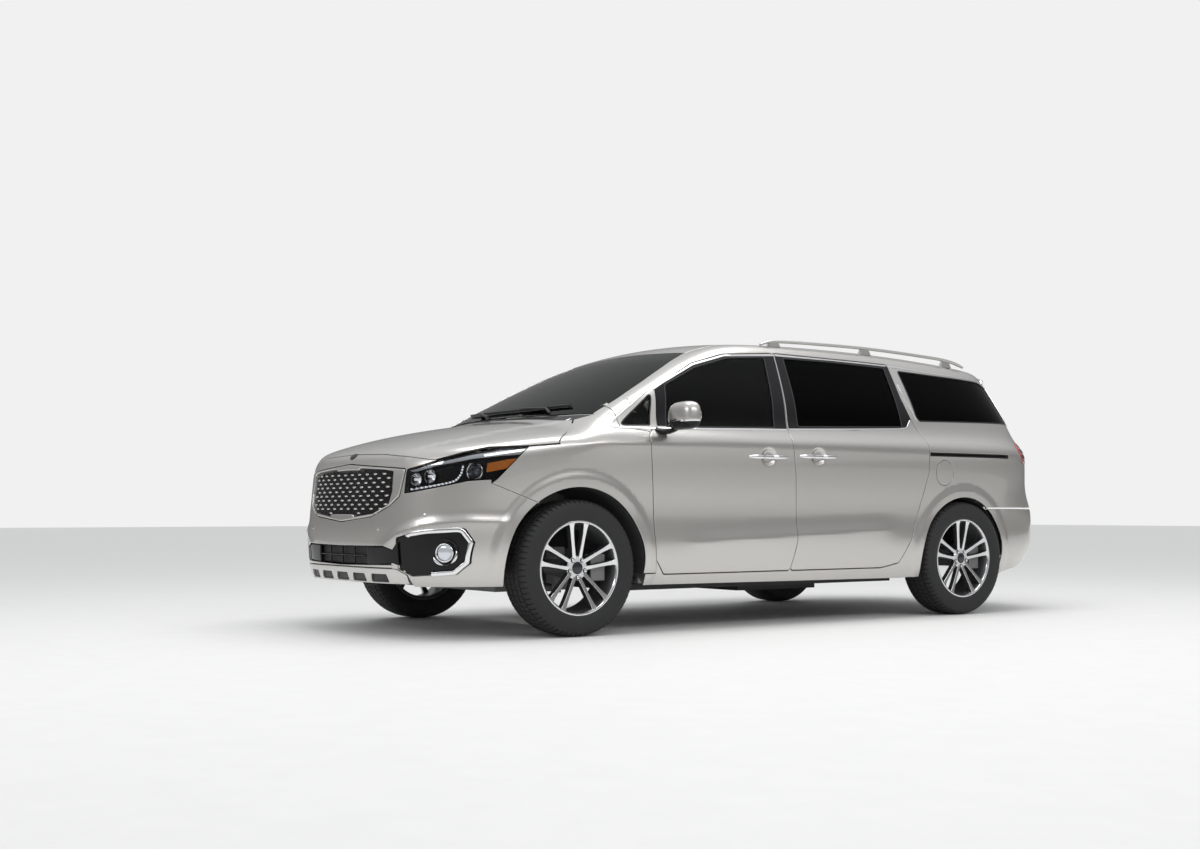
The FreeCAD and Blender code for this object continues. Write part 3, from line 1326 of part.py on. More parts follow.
# Rear axle: a beam between the rear knuckles, with trailing arms to the floor
for sign in (1, -1):
    rear_parts.append(rod(V(axle_r, sign * rear_knuckle_in, axle_z), V(axle_r, sign * (hub_rear - fit), axle_z),
                          size("hub_radius") * size("bearing_share")))
    rear_parts.append(caliper(axle_r, sign * hub_rear, sign, rear_knuckle_in))
    arm_y = sign * size("trailing_arm_y")
    low_y, high_y = sorted((arm_y - wall_t, arm_y + wall_t))
    rear_parts.append(block(axle_r, size("trailing_front_x"), low_y, high_y, axle_z - wall_t, axle_z + wall_t))
    rear_parts.append(block(size("trailing_front_x") - 2 * wall_t, size("trailing_front_x"), low_y, high_y,
                            axle_z, kick_top - wall_t))
beam = rod(V(axle_r, -rear_knuckle_in, axle_z), V(axle_r, rear_knuckle_in, axle_z), size("beam_radius"))
feature("rear_axle", main_solid(beam.fuse(rear_parts)))

# Wheels: tyre, and rim with brake disc
def wheel(label, along, centre_y, sign):
    centre = V(along, centre_y, axle_z)
    out = V(0, sign, 0)
    half = size("tyre_width") / 2
    tyre_r = size("tyre_radius")
    seat_r = size("rim_seat_radius")
    shoulder = size("tyre_shoulder")
    profile = [(-half, seat_r + fit), (-half, tyre_r - 2 * shoulder), (-half + shoulder, tyre_r),
               (half - shoulder, tyre_r), (half, tyre_r - 2 * shoulder), (half, seat_r + fit)]
    points = [centre + out * a + V(0, 0, b) for a, b in profile]
    tyre = Part.Face(Part.makePolygon(points + points[:1])).revolve(centre, V(0, 1, 0), 360)
    feature("tyre_" + label, tyre)
    rim_half = size("rim_width") / 2
    barrel = rod(centre - out * rim_half, centre + out * rim_half, seat_r)
    barrel = barrel.cut(rod(centre - out * (rim_half + over), centre + out * (rim_half + over),
                            seat_r - size("rim_wall")))
    face_in = rim_half - size("rim_face_depth")
    hub_piece = rod(centre + out * face_in, centre + out * (rim_half - size("hub_sink")), size("hub_radius"))
    pieces = [hub_piece]
    spread = math.radians(size("spoke_spread_deg"))
    for pair_index in range(5):
        middle = math.pi / 2 + 2 * math.pi * pair_index / 5
        for hand in (-1, 1):
            turn = middle + hand * spread
            tip = V(math.cos(turn), 0, math.sin(turn))
            root_turn = middle + hand * spread * size("spoke_root_share")
            base = V(math.cos(root_turn), 0, math.sin(root_turn))
            start = centre + base * (size("hub_radius") * 0.7) + out * (rim_half - size("spoke_depth"))
            end = centre + tip * (seat_r - size("rim_wall") / 2) + out * (rim_half - size("spoke_depth"))
            along_way = end - start
            across = along_way.cross(out)
            across.normalize()
            width = size("spoke_tip_width") / 2
            corners = [start + across * width, start - across * width, end - across * width, end + across * width]
            spoke = Part.Face(Part.makePolygon(corners + corners[:1])).extrude(out * size("spoke_depth"))
            pieces.append(spoke)
    disc = rod(centre + out * (face_in - size("disc_inset")), centre + out * (face_in - size("disc_inset") +
               size("disc_thickness")), size("disc_radius"))
    bell = rod(centre + out * (face_in - size("disc_inset")), centre + out * face_in, size("hub_radius"))
    pieces += [disc, bell]
    feature("rim_" + label, main_solid(barrel.fuse(pieces)))


for side_name, sign in (("left", 1), ("right", -1)):
    wheel("front_" + side_name, axle_f, sign * size("front_track") / 2, sign)
    wheel("rear_" + side_name, axle_r, sign * size("rear_track") / 2, sign)

# Roof rails
rail_line_shares = [
    (0.0137, 0.9783), (-0.0371, 0.9863), (-0.305, 0.9915), (-0.5752, 0.9778),
    (-0.6987, 0.955),
]
rail_y = size("roof_rail_y")
rail_points = [V(half_length * a, rail_y, height * b) for a, b in rail_line_shares]
rail_curve = Part.BSplineCurve()
rail_curve.interpolate(rail_points)
rail_foot_shares = (0.0, -0.3, -0.66)
rail_foot_low_share = 0.9
rail_heights = Curve(rail_line_shares)


def rail_curve_height(share):
    return height * rail_heights(share)


rail_wire = Part.Wire(rail_curve.toShape())
rail_profile = Part.Wire(Part.makeCircle(size("roof_rail_radius"), rail_points[0], rail_points[1] - rail_points[0]))
rail_piece = rail_wire.makePipeShell([rail_profile], True, True)
stand_slab = side_patch.slab(level(-size("rail_stand_height")), level(-fit))
rail_piece = rail_piece.cut(side_patch.slab(level(-fit), level(over)))
for share in rail_foot_shares:
    foot = rod(V(half_length * share, rail_y, height * rail_foot_low_share),
               V(half_length * share, rail_y, rail_curve_height(share)), size("roof_rail_radius"))
    rail_piece = rail_piece.fuse(main_solid(foot.common(stand_slab)))
feature("roof_rails", couple(main_solid(rail_piece)))

# Check and write
doc.recompute()
os.makedirs("parts", exist_ok=True)
for item in doc.Objects:
    if item.TypeId != "Part::Feature":
        continue
    if "Invalid" in item.State or "Error" in item.State:
        raise ValueError("broken: " + item.Label)
    if item.Shape.isNull() or not item.Shape.isValid():
        raise ValueError("bad shape: " + item.Label)
    item.Shape.exportStep("parts/" + item.Label + ".step")
    print(item.Label, len(item.Shape.Solids), round(item.Shape.Volume / 1e6, 2))
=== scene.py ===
import math
import bmesh
import bpy
import numpy as np
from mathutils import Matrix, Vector
from mathutils.geometry import delaunay_2d_cdt


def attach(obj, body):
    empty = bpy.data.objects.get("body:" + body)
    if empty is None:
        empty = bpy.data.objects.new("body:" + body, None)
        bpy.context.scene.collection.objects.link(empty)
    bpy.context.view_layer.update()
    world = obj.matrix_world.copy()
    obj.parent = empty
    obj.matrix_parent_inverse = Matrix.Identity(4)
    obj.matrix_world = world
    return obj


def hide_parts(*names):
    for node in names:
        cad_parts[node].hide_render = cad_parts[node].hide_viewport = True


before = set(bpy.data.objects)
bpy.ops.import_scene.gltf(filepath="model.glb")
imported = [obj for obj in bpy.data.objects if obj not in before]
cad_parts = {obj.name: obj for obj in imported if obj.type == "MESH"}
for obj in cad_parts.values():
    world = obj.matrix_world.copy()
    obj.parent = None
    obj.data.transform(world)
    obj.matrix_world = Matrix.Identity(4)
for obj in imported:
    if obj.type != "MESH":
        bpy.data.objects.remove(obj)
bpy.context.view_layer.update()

# Body shell
# The pressed skin of the van as one form: a plan outline that follows the side, nose and
# tail lines, met by the hood, windscreen and roof. Every panel and pane is cut from it.


class Line:
    """A smooth line through a few chosen points."""

    def __init__(self, points):
        points = sorted(points)
        self.at = np.array([p[0] for p in points])
        self.val = np.array([p[1] for p in points])
        count = len(points)
        step = np.diff(self.at)
        rise = np.diff(self.val) / step
        table = np.eye(count)
        right = np.zeros(count)
        for i in range(1, count - 1):
            table[i, i - 1:i + 2] = step[i - 1], 2 * (step[i - 1] + step[i]), step[i]
            right[i] = 6 * (rise[i] - rise[i - 1])
        self.bend = np.linalg.solve(table, right)

    def __call__(self, v):
        v = np.clip(v, self.at[0], self.at[-1])
        i = np.clip(np.searchsorted(self.at, v) - 1, 0, len(self.at) - 2)
        gap = self.at[i + 1] - self.at[i]
        p = (self.at[i + 1] - v) / gap
        q = 1 - p
        curl = ((p ** 3 - p) * self.bend[i] + (q ** 3 - q) * self.bend[i + 1]) * gap ** 2 / 6
        return p * self.val[i] + q * self.val[i + 1] + curl


front_axle, rear_axle, wheel_level = 1.6125, -1.4475, 0.3705
front_grip, slide_grip = (0.276, 0.998), (-0.124, 1.008)
dish_reach, dish_step = 0.07, 0.0075
nose_line = Line([(0.2, 2.47), (0.27, 2.525), (0.36, 2.552), (0.5, 2.5575), (0.62, 2.553), (0.8, 2.532),
                  (0.95, 2.51), (1.1, 2.48)])
tail_line = Line([(0.2, 2.36), (0.28, 2.44), (0.4, 2.53), (0.55, 2.555), (0.66, 2.5575), (0.72, 2.535),
                  (0.8, 2.495), (0.95, 2.475), (1.05, 2.465), (1.2, 2.415), (1.4, 2.33), (1.6, 2.245),
                  (1.8, 2.16)])
side_line = Line([(0.16, 0.885), (0.25, 0.925), (0.33, 0.955), (0.42, 0.975), (0.5, 0.981), (0.62, 0.976),
                  (0.8, 0.9835), (0.95, 0.9905), (1.03, 0.9925), (1.09, 0.985), (1.15, 0.945),
                  (1.28, 0.895), (1.45, 0.825), (1.6, 0.748), (1.8, 0.64)])
hood_line = Line([(1.52, 1.203), (1.65, 1.187), (1.85, 1.158), (2.05, 1.122), (2.25, 1.075), (2.42, 1.015),
                  (2.52, 0.955), (2.6, 0.89)])
roof_line = Line([(0.7, 1.662), (0.45, 1.706), (0.15, 1.731), (-0.3, 1.742), (-0.8, 1.738), (-1.3, 1.72),
                  (-1.8, 1.688), (-2.25, 1.647), (-2.6, 1.6)])


def blend_max(a, b, radius):
    """The larger of two values, with a soft change from one to the other."""
    reach = np.maximum(radius - np.abs(a - b), 0) / radius
    return np.maximum(a, b) + reach ** 3 * radius / 6


def ease(v):
    """Runs smoothly from nought to one."""
    v = np.clip(v, 0, 1)
    return v * v * (3 - 2 * v)


def unit(v):
    """Vectors scaled to length one."""
    v = np.asarray(v, float)
    return v / np.maximum(np.linalg.norm(v, axis=-1, keepdims=True), 1e-9)


def turns(count):
    """Angles evenly spread round a circle."""
    return np.linspace(0, 2 * math.pi, count, endpoint=False)


hood_back, hood_drop, roof_drop, screen_drop = 1.52, 0.055, 0.034, 0.012
screen_foot, screen_run, screen_rise, screen_sweep, screen_bulge = (1.6, 1.2), 1.08, 0.505, 0.2, 0.14


def top_height(x, y):
    """Height of hood, windscreen and roof above the plan; each drops towards the sides."""
    ay = np.abs(y)
    hood = hood_line(np.maximum(x, hood_back)) - hood_drop * (ay / 0.75) ** 2.5
    rise = (screen_foot[0] - x - screen_sweep * ay ** 2) / screen_run
    screen = screen_foot[1] + screen_rise * (rise + screen_bulge * rise * (1 - rise))
    screen = screen - screen_drop * (ay / 0.7) ** 2
    screen = np.where(rise > 1.6, 5.0, screen)
    roof = roof_line(x) - roof_drop * (ay / 0.65) ** 2
    return blend_max(hood, -blend_max(-screen, -roof, 0.1), 0.05)


def ridge(distance, above, below, soft=0.01):
    """A pressed crease: rounded at its line, fading out on both sides."""
    distance = np.sign(distance) * (np.sqrt(distance ** 2 + soft ** 2) - soft)
    share = np.where(distance > 0, distance / above, -distance / below)
    return np.clip(1 - share, 0, 1) ** 2


shoulder_line = Line([(1.9, 1.02), (1.49, 1.037), (0.89, 1.069), (0.13, 1.087), (-1.09, 1.114),
                      (-1.93, 1.112), (-2.3, 1.09)])


def relief(x, y, z):
    """Pressed lines that stand out from the plain form."""
    side = np.abs(y) > 0.6
    # the shoulder line, then the crease low on the doors
    fade = ease((x + 2.35) / 0.4) * ease((1.85 - x) / 0.5)
    lift = 0.0045 * ridge(z - shoulder_line(x), 0.05, 0.12) * fade
    low = 0.494 + (0.956 - x) * 0.042
    fade = ease((0.98 - x) / 0.3) * ease((x + 0.9) / 0.3)
    lift = lift + 0.010 * ridge(z - low, 0.11, 0.16) * fade
    # the flares round the wheel arches
    for axle, inner, outer in ((front_axle, 0.485, 0.535), (rear_axle, 0.44, 0.49)):
        away = np.hypot(x - axle, z - wheel_level)
        lift = lift + 0.008 * ease((outer - away) / (outer - inner)) * ease((z - 0.2) / 0.1)
    # the crease of the front bumper, and the raised middle of the hood
    bumper_crease = np.interp(np.abs(y), [0.453, 0.563, 0.71, 0.846, 0.911],
                              [0.494, 0.559, 0.607, 0.625, 0.622])
    fade = ease((x - 1.98) / 0.12) * ease((np.abs(y) - 0.36) / 0.24)
    hood_crease = np.interp(x, [1.5, 1.8, 2.15, 2.43], [0.657, 0.63, 0.659, 0.562])
    bulge = ease((hood_crease - np.abs(y)) / 0.05 + 0.5) * ease((x - 1.5) / 0.1) * ease((z - 0.93) / 0.05)
    front_lift = 0.009 * ridge(z - bumper_crease, 0.05, 0.14) * fade + 0.006 * bulge
    # the dishes behind the door handles
    for middle, level in (front_grip, slide_grip):
        away = np.hypot((x - middle) / 0.064, (z - level) / 0.058)
        lift = lift - 0.012 * ease((1 - away) / 0.45)
    return np.where(side, lift, 0.0) + np.where(x > 1.45, front_lift, 0.0)


def form(x, y, z):
    """Below zero inside the body, above zero outside."""
    zc = np.clip(z, 0.16, 1.8)
    up = np.clip((zc - 1.05) / 0.5, 0, 1)
    narrow = 0.035 * np.clip((x - 0.2) / 1.2, 0, 2) ** 2 + 0.05 * np.clip((-x - 0.6) / 1.6, 0, 2) ** 2
    wide = side_line(zc) * (1 - up * narrow)
    front = x > 0
    long = np.where(front, nose_line(z), tail_line(zc))
    # higher powers give squarer corners in plan
    m = np.where(front, 7.5, 9.0)
    n = np.where(front, 3.2, 3.0)
    ax = np.maximum(np.abs(x) / long, 1e-6)
    ay = np.maximum(np.abs(y) / wide, 1e-6)
    slope = np.hypot(m * ax ** (m - 1) / long, n * ay ** (n - 1) / wide)
    plan = (ax ** m + ay ** n - 1) / np.maximum(slope, 0.8)
    nudge = 3e-4
    lean = (top_height(x + nudge, y) - top_height(x - nudge, y)) / (2 * nudge)
    top = (z - top_height(x, y)) / np.sqrt(1 + lean ** 2)
    return blend_max(plan, top, np.where(x > 1.2, 0.11, 0.1)) - relief(x, y, z)


def outward(points):
    """Unit vectors square to the skin."""
    nudge = 5e-4
    x, y, z = points.T
    steps = [form(x + nudge, y, z) - form(x - nudge, y, z),
             form(x, y + nudge, z) - form(x, y - nudge, z),
             form(x, y, z + nudge) - form(x, y, z - nudge)]
    return unit(np.stack(steps, 1))


def reach(origin, way, far=2.6):
    """Points where rays from inside the body meet the skin."""
    near, beyond = np.zeros(len(origin)), np.full(len(origin), far)
    for _ in range(26):
        middle = (near + beyond) / 2
        at = origin + way * middle[:, None]
        inside = form(*at.T) < 0
        near, beyond = np.where(inside, middle, near), np.where(inside, beyond, middle)
    return origin + way * near[:, None]


class Chart:
    """Flat coordinates for a region of the skin, met by rays from inside."""

    ahead, behind, spine, level, side_bow, side_rise = 1.75, -1.45, 0.2978, 0.85, 0.9, 0.7
    hood_start, hood_level, hood_bow, hood_lean = 2.0, 0.6, 0.5, 0.45
    nose_start, nose_level, tail_start, tail_level = 1.5, 0.65, -1.45, 0.9

    def __init__(self, kind):
        self.kind = kind

    def rays(self, flat):
        """Where the rays of flat points start inside the body, and their directions."""
        u, v = np.asarray(flat, float).T
        zero, one = np.zeros(len(u)), np.ones(len(u))
        if self.kind == "top":
            return np.stack([u, v, self.level * one], 1), np.stack([zero, zero, one], 1)
        if self.kind == "hood":
            base = np.minimum(u, self.hood_start)
            tilt, lean = (u - base) / self.hood_bow, v / self.hood_lean
            way = np.stack([np.cos(lean) * np.sin(tilt), np.sin(lean), np.cos(lean) * np.cos(tilt)], 1)
            return np.stack([base, zero, self.hood_level * one], 1), way
        if self.kind == "side":
            base = np.clip(u, self.behind, self.ahead)
            turn, rise = math.pi / 2 - (u - base) / self.side_bow, v / self.side_rise
            origin = np.stack([base, self.spine * one, self.level * one], 1)
        elif self.kind == "nose":
            turn, rise = u, v
            origin = np.stack([self.nose_start * one, zero, self.nose_level * one], 1)
        else:
            turn, rise = math.pi - u, v
            origin = np.stack([self.tail_start * one, zero, self.tail_level * one], 1)
        return origin, np.stack([np.cos(turn) * np.cos(rise), np.sin(turn) * np.cos(rise), np.sin(rise)], 1)

    def flat(self, points):
        """The flat coordinates of points on the skin."""
        x, y, z = np.asarray(points, float).T
        if self.kind == "top":
            return np.stack([x, y], 1)
        if self.kind == "hood":
            base, up = np.minimum(x, self.hood_start), z - self.hood_level
            return np.stack([base + self.hood_bow * np.arctan2(x - base, up),
                             self.hood_lean * np.arctan2(y, np.hypot(x - base, up))], 1)
        if self.kind == "side":
            base = np.clip(x, self.behind, self.ahead)
            turn, away = np.arctan2(y - self.spine, x - base), np.hypot(x - base, y - self.spine)
            return np.stack([base + (math.pi / 2 - turn) * self.side_bow,
                             np.arctan2(z - self.level, away) * self.side_rise], 1)
        if self.kind == "nose":
            ahead = x - self.nose_start
            return np.stack([np.arctan2(y, ahead), np.arctan2(z - self.nose_level, np.hypot(ahead, y))], 1)
        ahead = x - self.tail_start
        return np.stack([math.pi - np.mod(np.arctan2(y, ahead), 2 * math.pi),
                         np.arctan2(z - self.tail_level, np.hypot(ahead, y))], 1)

    def skin(self, flat, depth=0.0):
        """The points of the skin at flat coordinates, or under it by a depth."""
        origin, way = self.rays(flat)
        return reach(origin, way) - way * np.reshape(depth, (-1, 1))


side_chart, top_chart, hood_chart = Chart("side"), Chart("top"), Chart("hood")
nose_chart, tail_chart = Chart("nose"), Chart("tail")


def rounded(points, radius):
    """A closed flat outline with its corners rounded."""
    points = [np.array(p, float) for p in points]
    done = []
    for i, corner in enumerate(points):
        back, ahead = points[i - 1] - corner, points[(i + 1) % len(points)] - corner
        lb, la = np.linalg.norm(back), np.linalg.norm(ahead)
        angle = math.acos(np.clip(back @ ahead / lb / la, -1, 1))
        if angle > 3.1:
            done.append(corner)
            continue
        cut = min(radius / math.tan(angle / 2), 0.45 * lb, 0.45 * la)
        first, last = corner + back / lb * cut, corner + ahead / la * cut
        for s in np.linspace(0, 1, 7):
            done.append((1 - s) ** 2 * first + 2 * s * (1 - s) * corner + s * s * last)
    return np.array(done)


def resampled(points, step, closed=True):
    """The same line with points no further apart than one step, and none twice."""
    points = np.asarray(points, float)
    if closed:
        points = np.vstack([points, points[:1]])
    keep = [points[0]]
    for a, b in zip(points[:-1], points[1:]):
        count = max(1, int(math.ceil(np.linalg.norm(b - a) / step)))
        for k in range(1, count + 1):
            keep.append(a + (b - a) * k / count)
    keep = np.array(keep)
    lengths = np.linalg.norm(np.diff(keep, axis=0), axis=1)
    keep = keep[np.concatenate([[True], lengths > step * 0.05])]
    return keep[:-1] if closed else keep


def area(points):
    """Area of a flat outline, above zero when it runs to the left."""
    x, y = points[:, 0], points[:, 1]
    return 0.5 * np.sum(x * np.roll(y, -1) - np.roll(x, -1) * y)


def inset(points, distance):
    """The outline moved inwards by a small distance."""
    sign = 1 if area(points) > 0 else -1
    way = unit(np.roll(points, -1, 0) - points)
    square = np.stack([-way[:, 1], way[:, 0]], 1) * sign
    both = square + np.roll(square, 1, 0)
    scale = np.maximum(np.sum(both * both, axis=1) / 2, 0.6)
    return points + both / scale[:, None] * distance


def holds(outline, points):
    """Which points lie inside a closed outline."""
    x, y = points[:, 0][:, None], points[:, 1][:, None]
    ax, ay = outline.T
    bx, by = np.roll(ax, -1), np.roll(ay, -1)
    crosses = (ay[None] > y) != (by[None] > y)
    with np.errstate(divide="ignore", invalid="ignore"):
        at = ax + (y - ay) * (bx - ax) / (by - ay)
    return np.sum(crosses & (x < at), axis=1) % 2 == 1


def off_line(outline, points):
    """Distance from points to a closed outline."""
    best = np.full(len(points), 1e9)
    for a, b in zip(outline, np.roll(outline, -1, 0)):
        way = b - a
        share = np.clip(((points - a) @ way) / max(way @ way, 1e-12), 0, 1)
        best = np.minimum(best, np.linalg.norm(points - a - share[:, None] * way, axis=1))
    return best


def seen_from(view, outline, step=0.012, closed=True):
    """Puts an outline drawn in one view (side x z, front y z, rear y z, top x y) on the skin."""
    a, b = resampled(outline, step, closed).T
    zero, one = np.zeros(len(a)), np.ones(len(a))
    if view == "side":
        return reach(np.stack([a, 0.1 * one, b], 1), np.stack([zero, one, zero], 1))
    if view == "top":
        return reach(np.stack([a, b, 0.85 * one], 1), np.stack([zero, zero, one], 1))
    way = one if view == "front" else -one
    return reach(np.stack([1.2 * way, a, b], 1), np.stack([way, zero, zero], 1))


def spot_on(view, a, b):
    """One point on the skin, given in one view."""
    return seen_from(view, [(a, b)] * 2, 1.0, False)[0]


def edge_line(*parts):
    """An outline on the skin, joined from lines drawn in different views."""
    return np.concatenate([seen_from(view, points, closed=False) for view, points in parts])


def both_halves(line):
    """Completes an outline from its left half, which starts and ends at the middle."""
    other = line[::-1] * np.array([1, -1, 1])
    return np.concatenate([line, other[np.abs(other[:, 1]) > 0.004]])


def within(loops, points):
    """Which points lie inside the first outline and outside the others."""
    keep = holds(loops[0], points)
    for hole in loops[1:]:
        keep &= ~holds(hole, points)
    return keep


def fill(loops, step, finer=()):
    """Triangles that fill flat outlines (the first outer, the rest holes)."""
    spots, edges = [], []
    for loop in loops:
        start = len(spots)
        spots += [tuple(p) for p in loop]
        edges += [(start + i, start + (i + 1) % len(loop)) for i in range(len(loop))]
    low, high = loops[0].min(0), loops[0].max(0)
    rows = np.arange(low[1] + step / 2, high[1], step * 0.87)
    grid = np.array([(a, row) for k, row in enumerate(rows)
                     for a in np.arange(low[0] + (k % 2) * step / 2, high[0], step)]).reshape(-1, 2)
    for middle, radius, close in finer:
        away = np.linalg.norm(grid - middle, axis=1)
        ticks = np.arange(-radius, radius, close)
        patch = np.stack(np.meshgrid(ticks, ticks), 2).reshape(-1, 2)
        patch[:, 0] += np.tile(np.repeat([0, close / 2], len(ticks)), len(ticks) // 2 + 1)[:len(patch)]
        patch = patch[np.linalg.norm(patch, axis=1) < radius] + middle
        grid = np.concatenate([grid[away > radius + close], patch])
    grid = grid[within(loops, grid)]
    for loop in loops:
        grid = grid[off_line(loop, grid) > step * 0.45]
    spots += [tuple(p) for p in grid]
    found, _, faces, _, _, _ = delaunay_2d_cdt([Vector(p) for p in spots], edges, [], 0, 1e-7, False)
    found = np.array([tuple(p) for p in found])
    faces = np.array([f for f in faces if len(f) == 3])
    faces = faces[within(loops, found[faces].mean(1))]
    a, b, c = found[faces[:, 0]], found[faces[:, 1]], found[faces[:, 2]]
    turn = (b[:, 0] - a[:, 0]) * (c[:, 1] - a[:, 1]) - (b[:, 1] - a[:, 1]) * (c[:, 0] - a[:, 0])
    faces = faces[np.abs(turn) > 1e-12]
    turn = turn[np.abs(turn) > 1e-12]
    faces[turn < 0] = faces[turn < 0][:, ::-1]
    return found, faces


class Shape:
    """Points, faces, normals and material numbers gathered for one piece."""

    def __init__(self):
        self.points, self.normals, self.faces, self.kinds = [], [], [], []
        self.count = 0

    def add(self, points, faces, normals=None, kind=0):
        """Takes in points and faces; without normals they are worked out from the faces."""
        points = np.asarray(points, float)
        self.points.append(points)
        self.normals.append(np.zeros_like(points) if normals is None else normals)
        for face in faces:
            self.faces.append([int(i) + self.count for i in face])
        self.kinds += [kind] * len(faces)
        self.count += len(points)
        return self

    def marked(self, kind):
        """The whole shape in one of the piece's materials."""
        self.kinds = [kind] * len(self.kinds)
        return self

    def mirrored(self):
        """The same shape on the other side of the van."""
        other = Shape()
        flip = np.array([1, -1, 1])
        other.points = [p * flip for p in self.points]
        other.normals = [n * flip for n in self.normals]
        other.faces = [f[::-1] for f in self.faces]
        other.kinds, other.count = list(self.kinds), self.count
        return other

    def join(self, other):
        """Adds another shape to this one."""
        self.points += other.points
        self.normals += other.normals
        self.faces += [[i + self.count for i in f] for f in other.faces]
        self.kinds += other.kinds
        self.count += other.count
        return self

    def doubled(self):
        """This shape together with its mirror image."""
        return self.join(self.mirrored())

    def piece(self, name, body, materials, slot=None, replaces=()):
        """Makes the finished piece, carried by one body of the van."""
        mesh = bpy.data.meshes.new(name)
        points = np.concatenate(self.points)
        mesh.from_pydata(points.tolist(), [], self.faces)
        for material in materials:
            mesh.materials.append(material)
        mesh.polygons.foreach_set("material_index", self.kinds)
        mesh.polygons.foreach_set("use_smooth", [True] * len(mesh.polygons))
        normals = np.concatenate(self.normals)
        plain = np.linalg.norm(normals, axis=1) < 0.5
        if plain.any() and not plain.all():
            own = np.zeros(len(points) * 3)
            mesh.vertices.foreach_get("normal", own)
            normals[plain] = own.reshape(-1, 3)[plain]
        if plain.all():
            mesh.set_sharp_from_angle(angle=math.radians(38))
        else:
            mesh.normals_split_custom_set_from_vertices(normals.tolist())
        thing = bpy.data.objects.new(name, mesh)
        bpy.context.scene.collection.objects.link(thing)
        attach(thing, body)
        if replaces:
            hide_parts(*replaces)
        return thing


def sheet_metal(chart, loops, step=0.02, thickness=0.03, lift=0.0, roll=0.0025, kinds=(0, 1), gap=0.0,
                back_step=0.06, finer=()):
    """A panel cut from the skin: smooth outer face, rolled edges, side walls and an inner face."""
    shape = Shape()
    flats = [chart.flat(loop) for loop in loops]
    flats = [f[::-1] if (area(f) > 0) != (k == 0) else f for k, f in enumerate(flats)]
    edges = [resampled(inset(f, (gap + roll) * (1 if k == 0 else -1)), 0.012) for k, f in enumerate(flats)]
    dishes = [(chart.flat([spot_on("side", *spot)])[0], dish_reach, dish_step) for spot in finer]
    found, faces = fill(edges, step, dishes)
    points = chart.skin(found, -lift)
    normals = outward(points - chart.rays(found)[1] * lift)
    a, b, c = points[faces[:, 0]], points[faces[:, 1]], points[faces[:, 2]]
    flip = np.sum(np.cross(b - a, c - a) * normals[faces[:, 0]]) < 0
    if flip:
        faces = faces[:, ::-1]
    shape.add(points, faces, normals, kinds[0])
    depth = thickness if callable(thickness) else (lambda p: np.full(len(p), thickness))
    for edge in edges:
        outer, way = chart.skin(edge, -lift), chart.rays(edge)[1]
        normal = outward(outer - way * lift)
        along = unit(np.roll(outer, -1, 0) - np.roll(outer, 1, 0))
        out = unit(np.cross(along, normal) * (-1 if flip else 1))
        rings, ring_normals = [outer], [normal]
        for turn in (0.4, 0.8, 1.2, math.pi / 2):
            rings.append(outer + out * roll * math.sin(turn) - normal * roll * (1 - math.cos(turn)))
            ring_normals.append(normal * math.cos(turn) + out * math.sin(turn))
        rings.append(rings[-1] - way * (np.reshape(depth(outer), (-1, 1)) - roll))
        ring_normals.append(out)
        count = len(outer)
        ahead = [(i + 1) % count for i in range(count)]
        quads = [[i, j, count + j, count + i][::1 if flip else -1] for i, j in enumerate(ahead)]
        for above, below, high, low in zip(rings, rings[1:], ring_normals, ring_normals[1:]):
            shape.add(np.vstack([above, below]), quads, np.vstack([high, low]), kinds[0])
    found, faces = fill(edges, back_step)
    points = chart.skin(found, -lift)
    points = points - chart.rays(found)[1] * np.reshape(depth(points), (-1, 1))
    return shape.add(points, faces if flip else faces[:, ::-1], None, kinds[1])


def plate(chart, view, outline, kind=0, **sizes):
    """A part of one material, cut from the skin along an outline drawn in one view."""
    return sheet_metal(chart, [seen_from(view, outline)], kinds=(kind, kind), **sizes)


def procedural(name, colour, rough=0.4, metal=0.0, coat=0.0, grain=0.0, grain_size=400.0, spread=0.04,
               glow=0.0, shine=0.5):
    """A surface with fine variation of its own, at real scale."""
    material = bpy.data.materials.new(name)
    material.use_nodes = True
    nodes, links = material.node_tree.nodes, material.node_tree.links
    shader = nodes["Principled BSDF"]
    for socket, value in (("Metallic", metal), ("Roughness", rough), ("Coat Weight", coat),
                          ("Coat Roughness", 0.03), ("IOR", 1.45), ("Specular IOR Level", shine)):
        shader.inputs[socket].default_value = value
    place = nodes.new("ShaderNodeTexCoord")
    noise = nodes.new("ShaderNodeTexNoise")
    noise.inputs["Scale"].default_value = grain_size
    noise.inputs["Detail"].default_value = 3.0
    links.new(place.outputs["Object"], noise.inputs["Vector"])
    ramp = nodes.new("ShaderNodeValToRGB")
    for end, at, share in zip(ramp.color_ramp.elements, (0.35, 0.65), (1 - spread, 1 + spread)):
        end.position = at
        end.color = (*[min(1.0, c * share) for c in colour], 1)
    links.new(noise.outputs["Fac"], ramp.inputs["Fac"])
    links.new(ramp.outputs["Color"], shader.inputs["Base Color"])
    if grain:
        bump = nodes.new("ShaderNodeBump")
        bump.inputs["Strength"].default_value = grain
        bump.inputs["Distance"].default_value = 0.0004
        links.new(noise.outputs["Fac"], bump.inputs["Height"])
        links.new(bump.outputs["Normal"], shader.inputs["Normal"])
    if glow:
        shader.inputs["Emission Color"].default_value = (*colour, 1)
        shader.inputs["Emission Strength"].default_value = glow
    return material


